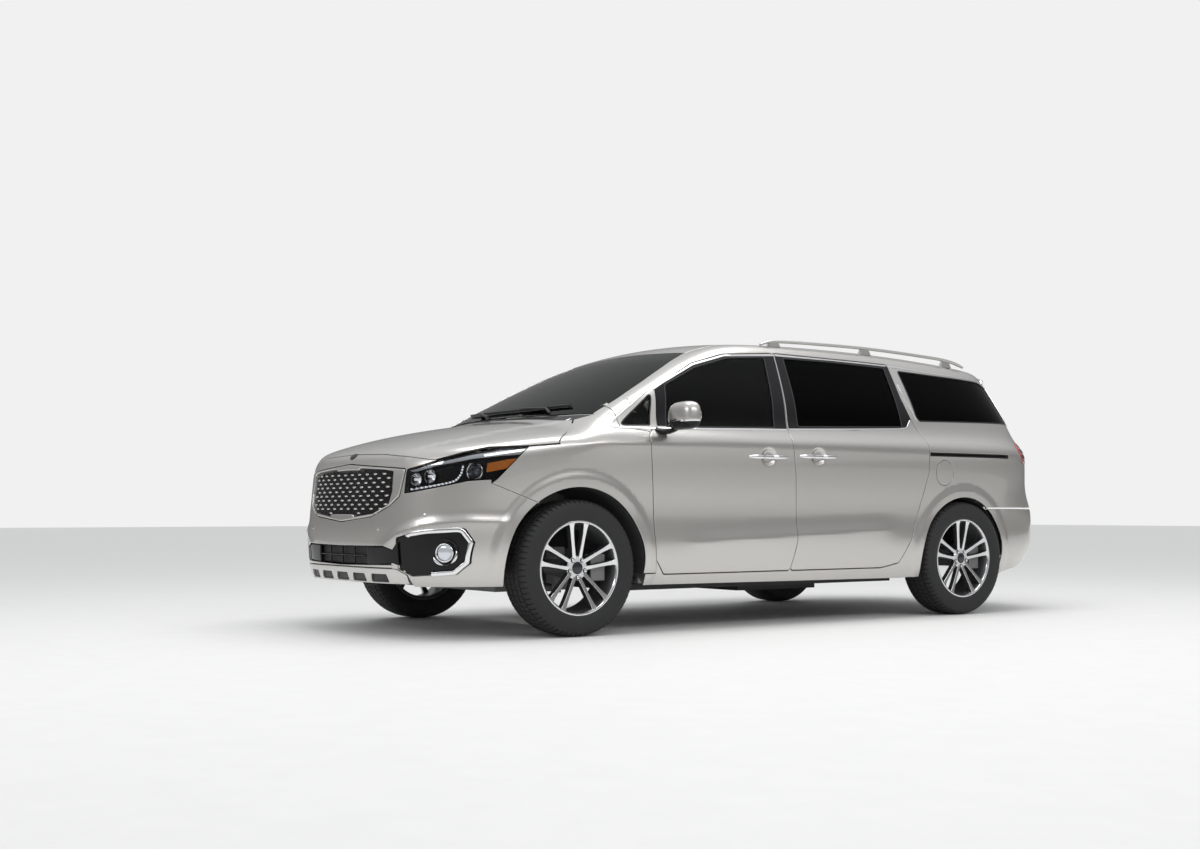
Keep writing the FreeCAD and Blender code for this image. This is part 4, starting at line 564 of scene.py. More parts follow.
silver = procedural("silver_paint", (0.56, 0.545, 0.52), rough=0.30, metal=0.88, coat=1.0, spread=0.05,
                    grain_size=1800.0)
gloss_black = procedural("gloss_black", (0.006, 0.006, 0.007), rough=0.10, spread=0.1, shine=0.3)
black_rubber = procedural("black_rubber", (0.016, 0.016, 0.017), rough=0.65, grain=0.25, grain_size=900.0)
cabin_trim = procedural("cabin_trim", (0.06, 0.058, 0.055), rough=0.75, grain=0.4, grain_size=700.0)
headliner = procedural("headliner_cloth", (0.45, 0.43, 0.40), rough=0.95, grain=0.5, grain_size=900.0)
chrome = procedural("chrome", (0.82, 0.82, 0.83), rough=0.06, metal=1.0, spread=0.02)


def slimmer_above(deep, slim):
    """The depth of a panel that is deep below the glass and slim beside it."""
    def depth(points):
        above = ease((points[:, 2] - 1.15) / 0.08 + 0.5)
        return deep * (1 - above) + slim * above

    return depth


door_deep, door_slim, wall_more = 0.105, 0.042, 0.0503
door_depth = slimmer_above(door_deep, door_slim)

# Front doors
# Hinged at their front edges: pressed skin with a rolled edge, a deep lower body and a slim
# window frame, trimmed inside. Each swings with its own glass, mirror and handle.
front_edge = [(1.097, 0.407), (1.111, 0.567), (1.125, 0.791), (1.141, 0.983), (1.151, 1.086), (1.12, 1.128),
              (1.062, 1.15), (1.01, 1.382)]
door_line = [(0.003, 1.65), (0.072, 1.168), (0.084, 1.092), (0.056, 0.903), (0.042, 0.663), (0.042, 0.491),
             (0.075, 0.322)]
front_door_outline = rounded(front_edge + [(0.678, 1.548), (0.42, 1.618)] + door_line + [(1.03, 0.322)],
                             0.024)
front_window = rounded([(1.0, 1.153), (0.935, 1.402), (0.669, 1.522), (0.399, 1.595), (0.093, 1.617),
                        (0.176, 1.176)], 0.014)
shut_gap, seam_gap = 0.0019, 0.0015
front_door = sheet_metal(side_chart, [seen_from("side", front_door_outline), seen_from("side", front_window)],
                         thickness=door_depth, gap=shut_gap, finer=[front_grip])


def door_pair(shape, name, materials, slot=None, stands_for=None):
    """One piece for each front door, the right one mirrored."""
    for side, half in (("left", shape), ("right", shape.mirrored())):
        half.piece(f"{name}_{side}", f"front_door_{side}", materials, slot,
                   [f"{stands_for}_{side}"] if stands_for else ())


door_pair(front_door, "front_door_skin", [silver, cabin_trim], "paint", "front_door")

# Sliding doors
# The rear side doors: same build, held by rollers in the rail slot and shown shut.
sliding_outline = rounded(door_line + [(-0.7, 0.322), (-0.85, 0.35), (-0.947, 0.498), (-1.035, 0.736),
                                       (-1.1, 0.92), (-1.105, 1.13), (-1.03, 1.27), (-0.99, 1.4),
                                       (-0.985, 1.634), (-0.735, 1.64)], 0.024)
sliding_window = rounded([(-0.017, 1.187), (-0.063, 1.621), (-0.5, 1.62), (-0.937, 1.609), (-0.931, 1.216)],
                         0.014)
sliding_door = sheet_metal(side_chart, [seen_from("side", sliding_outline),
                                        seen_from("side", sliding_window)],
                           thickness=door_depth, gap=shut_gap, finer=[slide_grip])
sliding_door.piece("sliding_door_skin_left", "body", [silver, cabin_trim], "paint", ["sliding_door_left"])
sliding_door.mirrored().piece("sliding_door_skin_right", "body", [silver, cabin_trim], "paint",
                              ["sliding_door_right"])

# Body sides
# One welded wall each side: sill, pillars, cant rail and rear quarter. The rear wheel arch
# has a pressed flare, and a slot below the glass carries the sliding door's rear roller.
def arch(axle, radius, from_turn, to_turn):
    """Part of a wheel arch opening, by the angle above the axle's level from the front."""
    turns = np.radians(np.linspace(from_turn, to_turn, 40))
    return [(axle + radius * math.cos(t), wheel_level + radius * math.sin(t)) for t in turns]


fender_rear = [(1.085, 0.33)] + front_edge[:5] + [(1.13, 1.122)]
screen_side = [(1.232, 0.78), (1.03, 0.738), (0.835, 0.68), (0.6, 0.595)]
lamp_front = [(-2.139, 1.16), (-2.072, 1.108), (-2.126, 1.014)]
side_outline = edge_line(
    ("side", [(1.165, 0.262), (1.165, 0.33), (1.088, 0.33)]), ("side", fender_rear[1:]),
    ("side", [(1.13, 1.122), (1.322, 1.146)]), ("top", [(1.322, 0.787)] + screen_side),
    ("top", [(0.594, 0.603), (-2.062, 0.603)]),
    ("rear", [(0.6, 1.56), (0.6, 1.54), (0.715, 1.3), (0.79, 1.164)]), ("side", lamp_front),
    ("rear", [(0.782, 1.005), (0.775, 0.95), (0.715, 0.76), (0.665, 0.702)]),
    ("side", [(-2.3, 0.701), (-1.6735, 0.701)]), ("side", arch(rear_axle, 0.398, 124, -17)),
    ("side", [(-0.9, 0.25), (1.165, 0.262)]))
quarter_window = rounded([(-1.062, 1.595), (-1.085, 1.29), (-1.11, 1.262), (-2.15, 1.284), (-2.06, 1.535),
                          (-1.93, 1.566), (-1.404, 1.582)], 0.014)
vent_window = rounded([(1.325, 1.153), (1.048, 1.352), (1.112, 1.16)], 0.014)
slot_outline = rounded([(-1.100, 1.034), (-1.100, 1.056), (-1.915, 1.0575), (-1.915, 1.0355)], 0.006)
flap_outline = [(-1.250 + 0.082 * math.cos(t), 0.927 + 0.082 * math.sin(t)) for t in turns(72)]
flap_loop = seen_from("side", flap_outline, 0.02)
wall_holes = (front_door_outline, sliding_outline, quarter_window, vent_window, slot_outline)
wall_loops = [side_outline] + [seen_from("side", hole) for hole in wall_holes]
wall_depth = slimmer_above(door_deep + wall_more, door_slim + wall_more)
body_side = sheet_metal(side_chart, wall_loops + [flap_loop], thickness=wall_depth, gap=seam_gap)
body_side.piece("body_side_skin_left", "body", [silver, cabin_trim], "paint", ["body_side_left"])
body_side = sheet_metal(side_chart, wall_loops, thickness=wall_depth, gap=seam_gap)
body_side.mirrored().piece("body_side_skin_right", "body", [silver, cabin_trim], "paint", ["body_side_right"])

# Fenders
# Thin pressed wings over the front wheels, with a flare pressed round the arch.
hood_side = [(1.736, 1.036), (1.917, 1.02)]
fender_outline = edge_line(
    ("side", fender_rear), ("side", [(1.13, 1.122), (1.322, 1.146)]),
    ("top", [(1.322, 0.787), (1.4, 0.79), (1.412, 0.806), (1.493, 0.733), (1.629, 0.886), (1.734, 0.958)]),
    ("side", hood_side), ("side", [(2.012, 0.926), (2.091, 0.845), (2.119, 0.823), (1.862, 0.721)]),
    ("side", arch(front_axle, 0.436, 54, 185)), ("side", [(1.178, 0.33), (1.085, 0.33)]))
fender = sheet_metal(side_chart, [fender_outline], thickness=0.006, gap=seam_gap)
fender.doubled().piece("fender_skins", "body", [silver, silver], "paint", ["fenders"])

# Roof, windscreen and hood
# The roof skin, the bonded windscreen and the hinged hood with its two raised lines.
roof_outline = both_halves(edge_line(("top", [(0.63, 0.0), (0.623, 0.3), (0.594, 0.601), (-2.062, 0.601),
                                              (-2.067, 0.3), (-2.07, 0.0)])))
roof = sheet_metal(top_chart, [roof_outline], step=0.04, thickness=0.028, gap=seam_gap)
roof.piece("roof_skin", "body", [silver, headliner], "paint", ["roof_panel"])
hood_outline = both_halves(edge_line(
    ("top", [(1.62, 0.0), (1.6, 0.3), (1.545, 0.6), (1.493, 0.733), (1.629, 0.886), (1.734, 0.958)]),
    ("side", hood_side + [(2.119, 1.012), (2.24, 0.984), (2.362, 0.944)]),
    ("front", [(0.715, 0.946), (0.556, 0.966), (0.348, 0.984), (0.0, 0.993)])))
hood = sheet_metal(hood_chart, [hood_outline], step=0.02, thickness=0.024, gap=shut_gap)
hood.piece("hood_skin", "hood", [silver, gloss_black], "paint", ["hood"])

# Front bumper
# One moulded cover from arch to arch, painted, open for the grille, intake, fog lamps and skid plate.
bumper_outline = both_halves(edge_line(
    ("front", [(0.0, 0.993), (0.348, 0.984), (0.556, 0.966), (0.7, 0.948)]),
    ("side", [(2.353, 0.9435), (2.448, 0.9)]), ("front", [(0.581, 0.897), (0.581, 0.772)]),
    ("side", [(2.46, 0.774), (2.36, 0.802), (2.238, 0.834), (2.119, 0.843), (2.119, 0.823), (1.862, 0.721)]),
    ("side", arch(front_axle, 0.436, 53, -12)), ("side", [(2.04, 0.277), (2.25, 0.277)]),
    ("front", [(0.78, 0.277), (0.62, 0.277), (0.606, 0.34), (0.539, 0.375), (0.0, 0.376)])))
grille_half = [(0.0, 0.94), (0.444, 0.913), (0.576, 0.903), (0.552, 0.755), (0.487, 0.702), (0.342, 0.647),
               (0.0, 0.618)]
intake_half = [(0.0, 0.488), (0.455, 0.492), (0.535, 0.47), (0.535, 0.394), (0.0, 0.384)]
fog_outline = [(0.555, 0.536), (0.712, 0.578), (0.845, 0.589), (0.867, 0.516), (0.852, 0.406), (0.807, 0.347),
               (0.631, 0.335), (0.557, 0.374)]


def whole(half):
    """Completes a flat outline from its left half."""
    return half + [(-a, b) for a, b in half[::-1] if a > 0.001]


grille_outline = rounded(whole(grille_half), 0.02)
intake_outline = rounded(whole(intake_half), 0.014)
fog_round = rounded(fog_outline, 0.014)
fog_hole = seen_from("front", fog_round)
front_bumper = sheet_metal(nose_chart, [bumper_outline, seen_from("front", grille_outline),
                                        seen_from("front", intake_outline), fog_hole,
                                        fog_hole * np.array([1, -1, 1])],
                           step=0.013, thickness=0.009, gap=0.0012)
front_bumper.piece("front_bumper_skin", "body", [silver, black_rubber], "paint", ["front_bumper"])

# Tailgate and rear bumper
# The lifting tailgate with its rear window, and the moulded rear bumper below it.
gate_half = [(0.64, 0.702), (0.715, 0.76), (0.775, 0.95), (0.79, 1.16), (0.715, 1.3), (0.6, 1.54),
             (0.594, 1.6)]
gate_outline = both_halves(edge_line(("rear", [(0.0, 0.704)] + gate_half),
                                     ("top", [(-2.076, 0.592), (-2.078, 0.3), (-2.08, 0.0)])))
rear_window = rounded(whole([(0.0, 1.205), (0.655, 1.205), (0.545, 1.53), (0.0, 1.548)]), 0.02)
tailgate = sheet_metal(tail_chart, [gate_outline, seen_from("rear", rear_window)],
                       thickness=slimmer_above(0.06, 0.034), gap=shut_gap)
tailgate.piece("tailgate_skin", "tailgate", [silver, cabin_trim], "paint", ["tailgate"])
rear_outline = both_halves(edge_line(
    ("rear", [(0.0, 0.695), (0.7, 0.695)]), ("side", [(-2.3, 0.695), (-1.665, 0.695)]),
    ("side", arch(rear_axle, 0.398, 123, 196)), ("side", [(-1.864, 0.256), (-2.106, 0.294), (-2.308, 0.35)]),
    ("rear", [(0.8, 0.355), (0.0, 0.355)])))
rear_bumper = sheet_metal(tail_chart, [rear_outline], thickness=0.009, gap=seam_gap)
rear_bumper.piece("rear_bumper_skin", "body", [silver, black_rubber], "paint", ["rear_bumper"])

# Window glass
# Flat-fitted panes a few millimetres below the skin: light green tint in front, dark privacy
# glass behind the front doors, a bonded screen, and tailgate glass with a black border.
def window_glass(name, tint):
    """Thin glass that tints what is behind it and mirrors more towards grazing angles."""
    material = bpy.data.materials.new(name)
    material.use_nodes = True
    nodes, links = material.node_tree.nodes, material.node_tree.links
    shader = nodes["Principled BSDF"]
    shader.inputs["Base Color"].default_value = (*[c * 0.3 for c in tint], 1)
    shader.inputs["Metallic"].default_value = 1.0
    shader.inputs["Roughness"].default_value = 0.02
    place = nodes.new("ShaderNodeTexCoord")
    noise = nodes.new("ShaderNodeTexNoise")
    noise.inputs["Scale"].default_value = 3.0
    links.new(place.outputs["Object"], noise.inputs["Vector"])
    ramp = nodes.new("ShaderNodeValToRGB")
    ramp.color_ramp.elements[0].color = (*[c * 0.97 for c in tint], 1)
    ramp.color_ramp.elements[1].color = (*tint, 1)
    links.new(noise.outputs["Fac"], ramp.inputs["Fac"])
    through = nodes.new("ShaderNodeBsdfTransparent")
    links.new(ramp.outputs["Color"], through.inputs["Color"])
    grazing = nodes.new("ShaderNodeFresnel")
    grazing.inputs["IOR"].default_value = 1.52
    mix = nodes.new("ShaderNodeMixShader")
    links.new(grazing.outputs["Fac"], mix.inputs["Fac"])
    links.new(through.outputs["BSDF"], mix.inputs[1])
    links.new(shader.outputs["BSDF"], mix.inputs[2])
    links.new(mix.outputs["Shader"], nodes["Material Output"].inputs["Surface"])
    return material


light_glass = window_glass("light_glass", (0.88, 0.91, 0.87))
dark_glass = window_glass("dark_glass", (0.30, 0.30, 0.31))
lamp_glass = window_glass("lamp_glass", (0.93, 0.94, 0.95))


def pane(chart, view, outline, gap=0.0006):
    """A pane set a little below the skin of its opening."""
    return plate(chart, view, outline, step=0.05, thickness=0.005, lift=-0.004, roll=0.0008, gap=gap)


front_pane = pane(side_chart, "side", front_window)
door_pair(front_pane, "front_pane", [light_glass], "clear_glass", "front_door_glass")
side_panes = pane(side_chart, "side", sliding_window).join(pane(side_chart, "side", quarter_window))
side_panes.doubled().piece("rear_side_panes", "body", [dark_glass], "glass", ["fixed_side_glass"])
vent_pane = pane(side_chart, "side", vent_window)
vent_pane.doubled().piece("vent_panes", "body", [light_glass], "clear_glass")
screen_half = [(1.55, 0.0), (1.53, 0.3), (1.475, 0.56), (1.4, 0.79)] + screen_side[:3]
screen_half += [(0.6, 0.59), (0.625, 0.3), (0.632, 0.0)]
screen_loop = both_halves(edge_line(("top", screen_half)))
screen = sheet_metal(top_chart, [screen_loop], step=0.05, thickness=0.005, lift=-0.003, roll=0.001,
                     kinds=(0, 0), gap=0.001)
screen.piece("windscreen_pane", "body", [light_glass], "clear_glass", ["windscreen"])
rear_pane = pane(tail_chart, "rear", rear_window)
rear_pane.piece("rear_pane", "tailgate", [dark_glass], "glass", ["tailgate_glass"])


def loft(rings, wrap=False, kinds=None):
    """A closed skin over a row of equal rings, in order."""
    rings = np.asarray(rings, float)
    count, size = rings.shape[:2]
    faces, marks = [], []
    for r in range(count if wrap else count - 1):
        s = (r + 1) % count
        for i in range(size):
            j = (i + 1) % size
            faces.append([r * size + i, r * size + j, s * size + j, s * size + i])
            marks.append(kinds[i] if kinds else 0)
    if not wrap:
        faces += [list(range(size))[::-1], list(range((count - 1) * size, count * size))]
        marks += [0, 0]
    points = rings.reshape(-1, 3)
    middle = points.mean(0)
    volume = 0.0
    for face in faces:
        p, q, r = points[face[:3]] - middle
        volume += p @ np.cross(q, r)
        if len(face) == 4:
            volume += p @ np.cross(r, points[face[3]] - middle)
    shape = Shape().add(points, [f[::-1] for f in faces] if volume < 0 else faces)
    shape.kinds = marks
    return shape


def moulding(line, width, height, closed=False, kind=0):
    """A strip laid along a line on the skin, with a low crown and a foot just under it."""
    line = np.asarray(line, float)
    normal = outward(line)
    along = unit(np.roll(line, -1, 0) - np.roll(line, 1, 0) if closed else np.gradient(line, axis=0))
    across = np.cross(along, normal)
    profile = [(-1, -0.0015), (-1, 0.45 * height), (-0.8, 0.85 * height), (-0.4, height), (0.4, height),
               (0.8, 0.85 * height), (1, 0.45 * height), (1, -0.0015)]
    rings = np.stack([line + across * width / 2 * t + normal * h for t, h in profile], 1)
    return loft(rings, wrap=closed).marked(kind)


def tube(line, radius, sides=14, squash=1.0):
    """A round bar along a line; the radius may change along it."""
    line = np.asarray(line, float)
    radius = np.broadcast_to(radius, (len(line),))
    along = unit(np.gradient(line, axis=0))
    side = np.cross(along[0], [0.0, 0.0, 1.0])
    if np.linalg.norm(side) < 0.1:
        side = np.array([1.0, 0.0, 0.0])
    rings = []
    for p, t, r in zip(line, along, radius):
        side = unit(side - t * (side @ t))
        up = np.cross(side, t)
        rings.append([p + side * r * math.cos(a) + up * r * squash * math.sin(a) for a in turns(sides)])
    return loft(rings)


def bend(points, step=0.01):
    """A smooth line through a few points in space."""
    points = np.asarray(points, float)
    far = np.concatenate([[0], np.cumsum(np.linalg.norm(np.diff(points, axis=0), axis=1))])
    at = np.linspace(0, far[-1], max(3, int(far[-1] / step)))
    return np.stack([Line(list(zip(far, points[:, k])))(at) for k in range(3)], 1)


def turned(profile, centre, axis, count=64, wrap=False, kinds=None):
    """A body of revolution: profile points are (along the axis, radius)."""
    axis = np.asarray(axis, float)
    side = np.cross(axis, [0.0, 0.0, 1.0]) if abs(axis[2]) < 0.9 else np.array([1.0, 0.0, 0.0])
    side = unit(side)
    up = np.cross(axis, side)
    turn = turns(count)[:, None]
    ring = np.cos(turn) * side + np.sin(turn) * up
    rings = [np.asarray(centre) + axis * a + ring * r for a, r in profile]
    shape = loft(rings, wrap=wrap)
    if kinds is not None:
        steps = len(profile) if wrap else len(profile) - 1
        marks = [kinds[k] for k in range(steps) for _ in range(count)]
        shape.kinds = marks + [kinds[0], kinds[-1]][:len(shape.kinds) - len(marks)]
    return shape


# Window surround and pillar trim
# A bright moulding follows the side glass from the front quarter light over the doors to the
# rear quarter; black rubber seals the panes and gloss black plates cover the door pillars.
def on_side(points, radius=0.02, step=0.012):
    """An open line on the side skin with its corners eased."""
    points = [np.array(p, float) for p in points]
    eased = [points[0]]
    for a, b, c in zip(points, points[1:], points[2:]):
        cut = min(radius, 0.45 * np.linalg.norm(a - b), 0.45 * np.linalg.norm(c - b))
        first, last = b + (a - b) / np.linalg.norm(a - b) * cut, b + (c - b) / np.linalg.norm(c - b) * cut
        eased += [(1 - s) ** 2 * first + 2 * s * (1 - s) * b + s * s * last for s in np.linspace(0, 1, 6)]
    eased.append(points[-1])
    return seen_from("side", eased, step, closed=False)


door_trim = moulding(on_side([(1.018, 1.372), (0.935, 1.415), (0.675, 1.536), (0.41, 1.607), (0.012, 1.634)]),
                     0.011, 0.004)
door_trim.join(moulding(on_side([(1.066, 1.142), (0.6, 1.152), (0.085, 1.165)]), 0.012, 0.004))
door_trim.join(moulding(seen_from("side", front_window), 0.009, 0.0022, closed=True, kind=1))
door_pair(door_trim, "front_door_trim", [chrome, black_rubber])

slide_trim = moulding(on_side([(-0.006, 1.634), (-0.5, 1.633), (-0.965, 1.624)]), 0.010, 0.004)
slide_trim.join(moulding(on_side([(0.066, 1.168), (-0.5, 1.187), (-0.9, 1.202), (-0.975, 1.212),
                                  (-1.018, 1.262)]), 0.012, 0.004))
slide_trim.join(moulding(seen_from("side", sliding_window), 0.009, 0.0022, closed=True, kind=1))
wall_trim = moulding(on_side([(1.075, 1.139), (1.34, 1.139), (1.387, 1.143), (1.36, 1.172), (1.05, 1.372),
                              (1.026, 1.384)], 0.012), 0.012, 0.004)
wall_trim.join(moulding(on_side([(-0.992, 1.623), (-1.404, 1.597), (-1.93, 1.579), (-2.068, 1.55),
                                 (-2.166, 1.27)], 0.014), 0.009, 0.004))
wall_trim.join(moulding(on_side([(-1.012, 1.5), (-1.03, 1.4), (-1.085, 1.262)], 0.03), 0.009, 0.004))
for loop in (quarter_window, vent_window):
    wall_trim.join(moulding(seen_from("side", loop), 0.008, 0.0022, closed=True, kind=1))
body_trim = slide_trim.join(wall_trim)
body_trim.doubled().piece("window_trim", "body", [chrome, black_rubber])


def cover(outline, window):
    """A thin black frame that covers a door's window frame and pillars."""
    loops = [seen_from("side", rounded(outline, 0.006)), seen_from("side", window)]
    return sheet_metal(side_chart, loops, step=0.04, thickness=0.0025, lift=0.0014, roll=0.0008, kinds=(0, 0))


door_cover = cover([(0.008, 1.637), (0.42, 1.609), (0.676, 1.539), (1.011, 1.376), (1.058, 1.157),
                    (0.6, 1.163), (0.079, 1.172)], front_window)
door_pair(door_cover, "window_frame", [gloss_black])
slide_cover = cover([(-0.002, 1.637), (-0.5, 1.637), (-0.98, 1.625), (-0.992, 1.4), (-1.028, 1.27),
                     (-0.975, 1.212), (-0.5, 1.18), (0.063, 1.172)], sliding_window)
slide_cover.doubled().piece("slide_window_frames", "body", [gloss_black])

# Door handles and mirrors
# Bright pull handles stand over round dishes pressed into the doors. The mirror heads are
# painted above and black below, on black feet at the front corner of the door windows.
def pull_handle(centre_x, centre_z):
    """A bowed bar with flat ends set into the door skin."""
    run = np.linspace(-0.154, 0.154, 33)
    share = np.abs(run) / 0.154
    out = 0.019 * (1 - share ** 4) - 0.004
    line = seen_from("side", [(centre_x + a, centre_z) for a in run], 0.0105, closed=False)
    line = line + outward(line) * out[:, None]
    tall = 0.0125 * (1 - share ** 6 * 0.5)
    deep = 0.0055 + 0.003 * (1 - share ** 2)
    rings = [[p + np.array([0, d * math.cos(a), t * math.sin(a)]) for a in turns(16)]
             for p, t, d in zip(line, tall, deep)]
    return loft(rings)


door_pair(pull_handle(*front_grip), "front_handle", [chrome])
slide_handle = pull_handle(*slide_grip)
slide_handle.doubled().piece("sliding_handles", "body", [chrome])


def mirror_head():
    """Painted shell over a black base, the mirror glass behind, and the foot."""
    centre, half = np.array([1.008, 1.117, 1.207]), np.array([0.068, 0.106, 0.078])
    lift = np.linspace(-math.pi / 2, math.pi / 2, 30)
    turn = turns(48)

    def soft(v, power):
        return np.sign(v) * np.abs(v) ** power

    rings = []
    for a in lift[1:-1]:
        c, s = soft(math.cos(a), 0.55), soft(math.sin(a), 0.7)
        x, y = c * soft(np.cos(turn), 0.7), c * soft(np.sin(turn), 0.6)
        x = np.where(x < 0, x * 0.45, x)
        tall = (s + 0.06 * y) * half[2] * np.where(x > 0, 1, 0.98)
        x, y = (x - 0.12 * (y + 1)) * half[0], y * half[1] * (1 - 0.06 * s)
        rings.append(centre + np.stack([x, y, tall], 1))
    head = loft(rings)
    heights = np.asarray(rings)[:, :, 2].reshape(-1) - centre[2]
    levels = [heights[face].mean() for face in head.faces]
    head.kinds = [0 if level > -0.026 else (2 if level > -0.034 else 1) for level in levels]
    glass = loft([[centre + np.array([dx - 0.044, math.cos(a) * 0.088, math.sin(a) * 0.060])
                   for a in turns(40)] for dx in (0.0, -0.004)])
    foot_line = bend([(1.012, 1.06, 1.142), (1.03, 1.0, 1.124), (1.062, 0.948, 1.128), (1.075, 0.925, 1.132)])
    foot = tube(foot_line, np.linspace(0.020, 0.032, len(foot_line)), squash=0.6)
    return head.join(glass.marked(2)).join(foot.marked(1))


door_pair(mirror_head(), "mirror", [silver, gloss_black, chrome])

# Wheels
# Cast alloy wheels with five pairs of spokes, their faces machined bright between dark
# pockets, a blank cap, five nuts, and tyres with four grooves and blocked shoulders.
alloy_face = procedural("machined_alloy", (0.80, 0.80, 0.81), rough=0.16, metal=1.0, spread=0.04,
                        grain_size=300.0)
alloy_dark = procedural("pocket_paint", (0.035, 0.035, 0.038), rough=0.25, metal=0.4, coat=0.5, spread=0.2)
barrel_paint = procedural("barrel_paint", (0.20, 0.20, 0.21), rough=0.35, metal=0.8, spread=0.1)
cap_paint = procedural("cap_paint", (0.012, 0.014, 0.022), rough=0.2, coat=0.6, spread=0.1)
tyre_rubber = procedural("tyre_rubber", (0.018, 0.018, 0.019), rough=0.72, grain=0.3, grain_size=700.0,
                         spread=0.15)
out_way = np.array([0.0, 1.0, 0.0])


def spoke(middle, side):
    """One machined spoke of a pair, from the hub to the rim."""
    table = [(0.042, 0.018, 0.026, 0.078), (0.07, 0.0215, 0.0225, 0.080), (0.11, 0.028, 0.0205, 0.084),
             (0.15, 0.0345, 0.0205, 0.0875), (0.19, 0.0405, 0.0225, 0.0915), (0.22, 0.045, 0.027, 0.095),
             (0.234, 0.0475, 0.034, 0.0975), (0.2415, 0.049, 0.044, 0.099)]
    radial = np.array([math.cos(middle), 0.0, math.sin(middle)])
    across = np.array([-math.sin(middle), 0.0, math.cos(middle)])
    rings = []
    for r, off, wide, face in table:
        half, deep = wide / 2, face - 0.030
        section = [(-half + 0.002, face), (half - 0.002, face), (half, face - 0.002), (half + 0.004, deep),
                   (-half - 0.004, deep), (-half, face - 0.002)]
        rings.append([radial * r + across * (side * off + t) + out_way * a for t, a in section])
    return loft(rings, kinds=[0, 0, 1, 1, 1, 0])


def wheel():
    """Barrel, hub, blank cap, five pairs of spokes and five nuts."""
    barrel = turned([(0.093, 0.2413), (0.0935, 0.257), (0.0965, 0.2588), (0.1015, 0.2578), (0.1035, 0.253),
                     (0.1015, 0.2455), (0.094, 0.2400), (0.06, 0.2345), (-0.06, 0.2290), (-0.09, 0.2310),
                     (-0.1005, 0.242), (-0.103, 0.253), (-0.1, 0.2588), (-0.0945, 0.2575), (-0.093, 0.2413)],
                    (0, 0, 0), out_way, 96, wrap=True, kinds=[0] * 6 + [2] * 9)
    hub = turned([(0.028, 0.004), (0.028, 0.062), (0.058, 0.068), (0.074, 0.066), (0.0785, 0.061),
                  (0.0785, 0.034),
                  (0.07, 0.0315), (0.07, 0.004)], (0, 0, 0), out_way, 60, kinds=[2, 2, 1, 0, 0, 1, 1])
    cap = turned([(0.07, 0.003), (0.07, 0.0305), (0.080, 0.0305), (0.0825, 0.028), (0.0838, 0.016),
                  (0.084, 0.003)], (0, 0, 0), out_way, 40).marked(3)
    shape = barrel.join(hub).join(cap)
    for k in range(5):
        middle = math.radians(90 + 72 * k)
        shape.join(spoke(middle, 1)).join(spoke(middle, -1))
        nut_turn = middle + math.radians(36)
        place = np.array([math.cos(nut_turn), 0.0, math.sin(nut_turn)]) * 0.0515
        shape.join(turned([(0.06, 0.002), (0.06, 0.0135), (0.0792, 0.0135), (0.0792, 0.002)], place, out_way,
                          20).marked(1))
        shape.join(turned([(0.075, 0.002), (0.075, 0.0098), (0.0855, 0.0098), (0.0868, 0.0078),
                           (0.0868, 0.002)], place, out_way, 6))
    return shape


def tyre():
    """A closed tyre with grooves round it and lateral grooves across shoulders and ribs."""
    half = [(0.0925, 0.2425), (0.1035, 0.2580), (0.1075, 0.2640), (0.1125, 0.278), (0.1160, 0.296),
            (0.1174, 0.312), (0.1168, 0.326), (0.1145, 0.338), (0.1138, 0.3395), (0.1110, 0.348),
            (0.1060, 0.3565), (0.0980, 0.3625), (0.0860, 0.3665), (0.0665, 0.3685)]
    grooves = []
    for middle, crown in ((0.062, 0.3688), (0.021, 0.3702)):
        grooves += [(middle + 0.0045, crown), (middle + 0.0035, crown - 0.0075),
                    (middle - 0.0035, crown - 0.0075), (middle - 0.0045, crown)]
    right = half + grooves
    profile = np.array(right + [(-a, r) for a, r in right[::-1]])
    a, r = profile.T
    shoulder = (np.abs(a) > 0.066) & (r > 0.355)
    rib = (np.abs(a) < 0.06) & (r > 0.366)
    rings = []
    for pitch in range(72):
        for share, cut_shoulder, cut_rib in ((0.0, 0, 0), (0.34, 0, 0), (0.37, 0, 1), (0.45, 0, 1),
                                             (0.48, 0, 0), (0.76, 0, 0), (0.79, 1, 0), (0.95, 1, 0)):
            turn = 2 * math.pi * (pitch + share) / 72
            deep = r - 0.006 * cut_shoulder * shoulder - 0.004 * cut_rib * rib
            rings.append(np.stack([deep * math.cos(turn), a, deep * math.sin(turn)], 1))
    return loft(rings, wrap=True)


def moved(shape, place):
    """A copy of a shape, set in another place."""
    other = Shape()
    other.points = [p + np.asarray(place) for p in shape.points]
    other.normals, other.faces = list(shape.normals), list(shape.faces)
    other.kinds, other.count = list(shape.kinds), shape.count
    return other


plain_wheel, plain_tyre = wheel(), tyre()
rim_finish = [alloy_face, alloy_dark, barrel_paint, cap_paint]
for end, axle, track in (("front", front_axle, 1.735), ("rear", rear_axle, 1.742)):
    for side, sign in (("left", 1), ("right", -1)):
        for name, part, finish, slot in (("rim", plain_wheel, rim_finish, "alloy"),
                                         ("tyre", plain_tyre, [tyre_rubber], "tyre")):
            placed = moved(part, (axle, track / 2, wheel_level))
            placed = placed if sign > 0 else placed.mirrored()
            placed.piece(f"{name}_{end}_{side}_finished", f"wheel_{end}_{side}", finish, slot,
                         [f"{name}_{end}_{side}"])

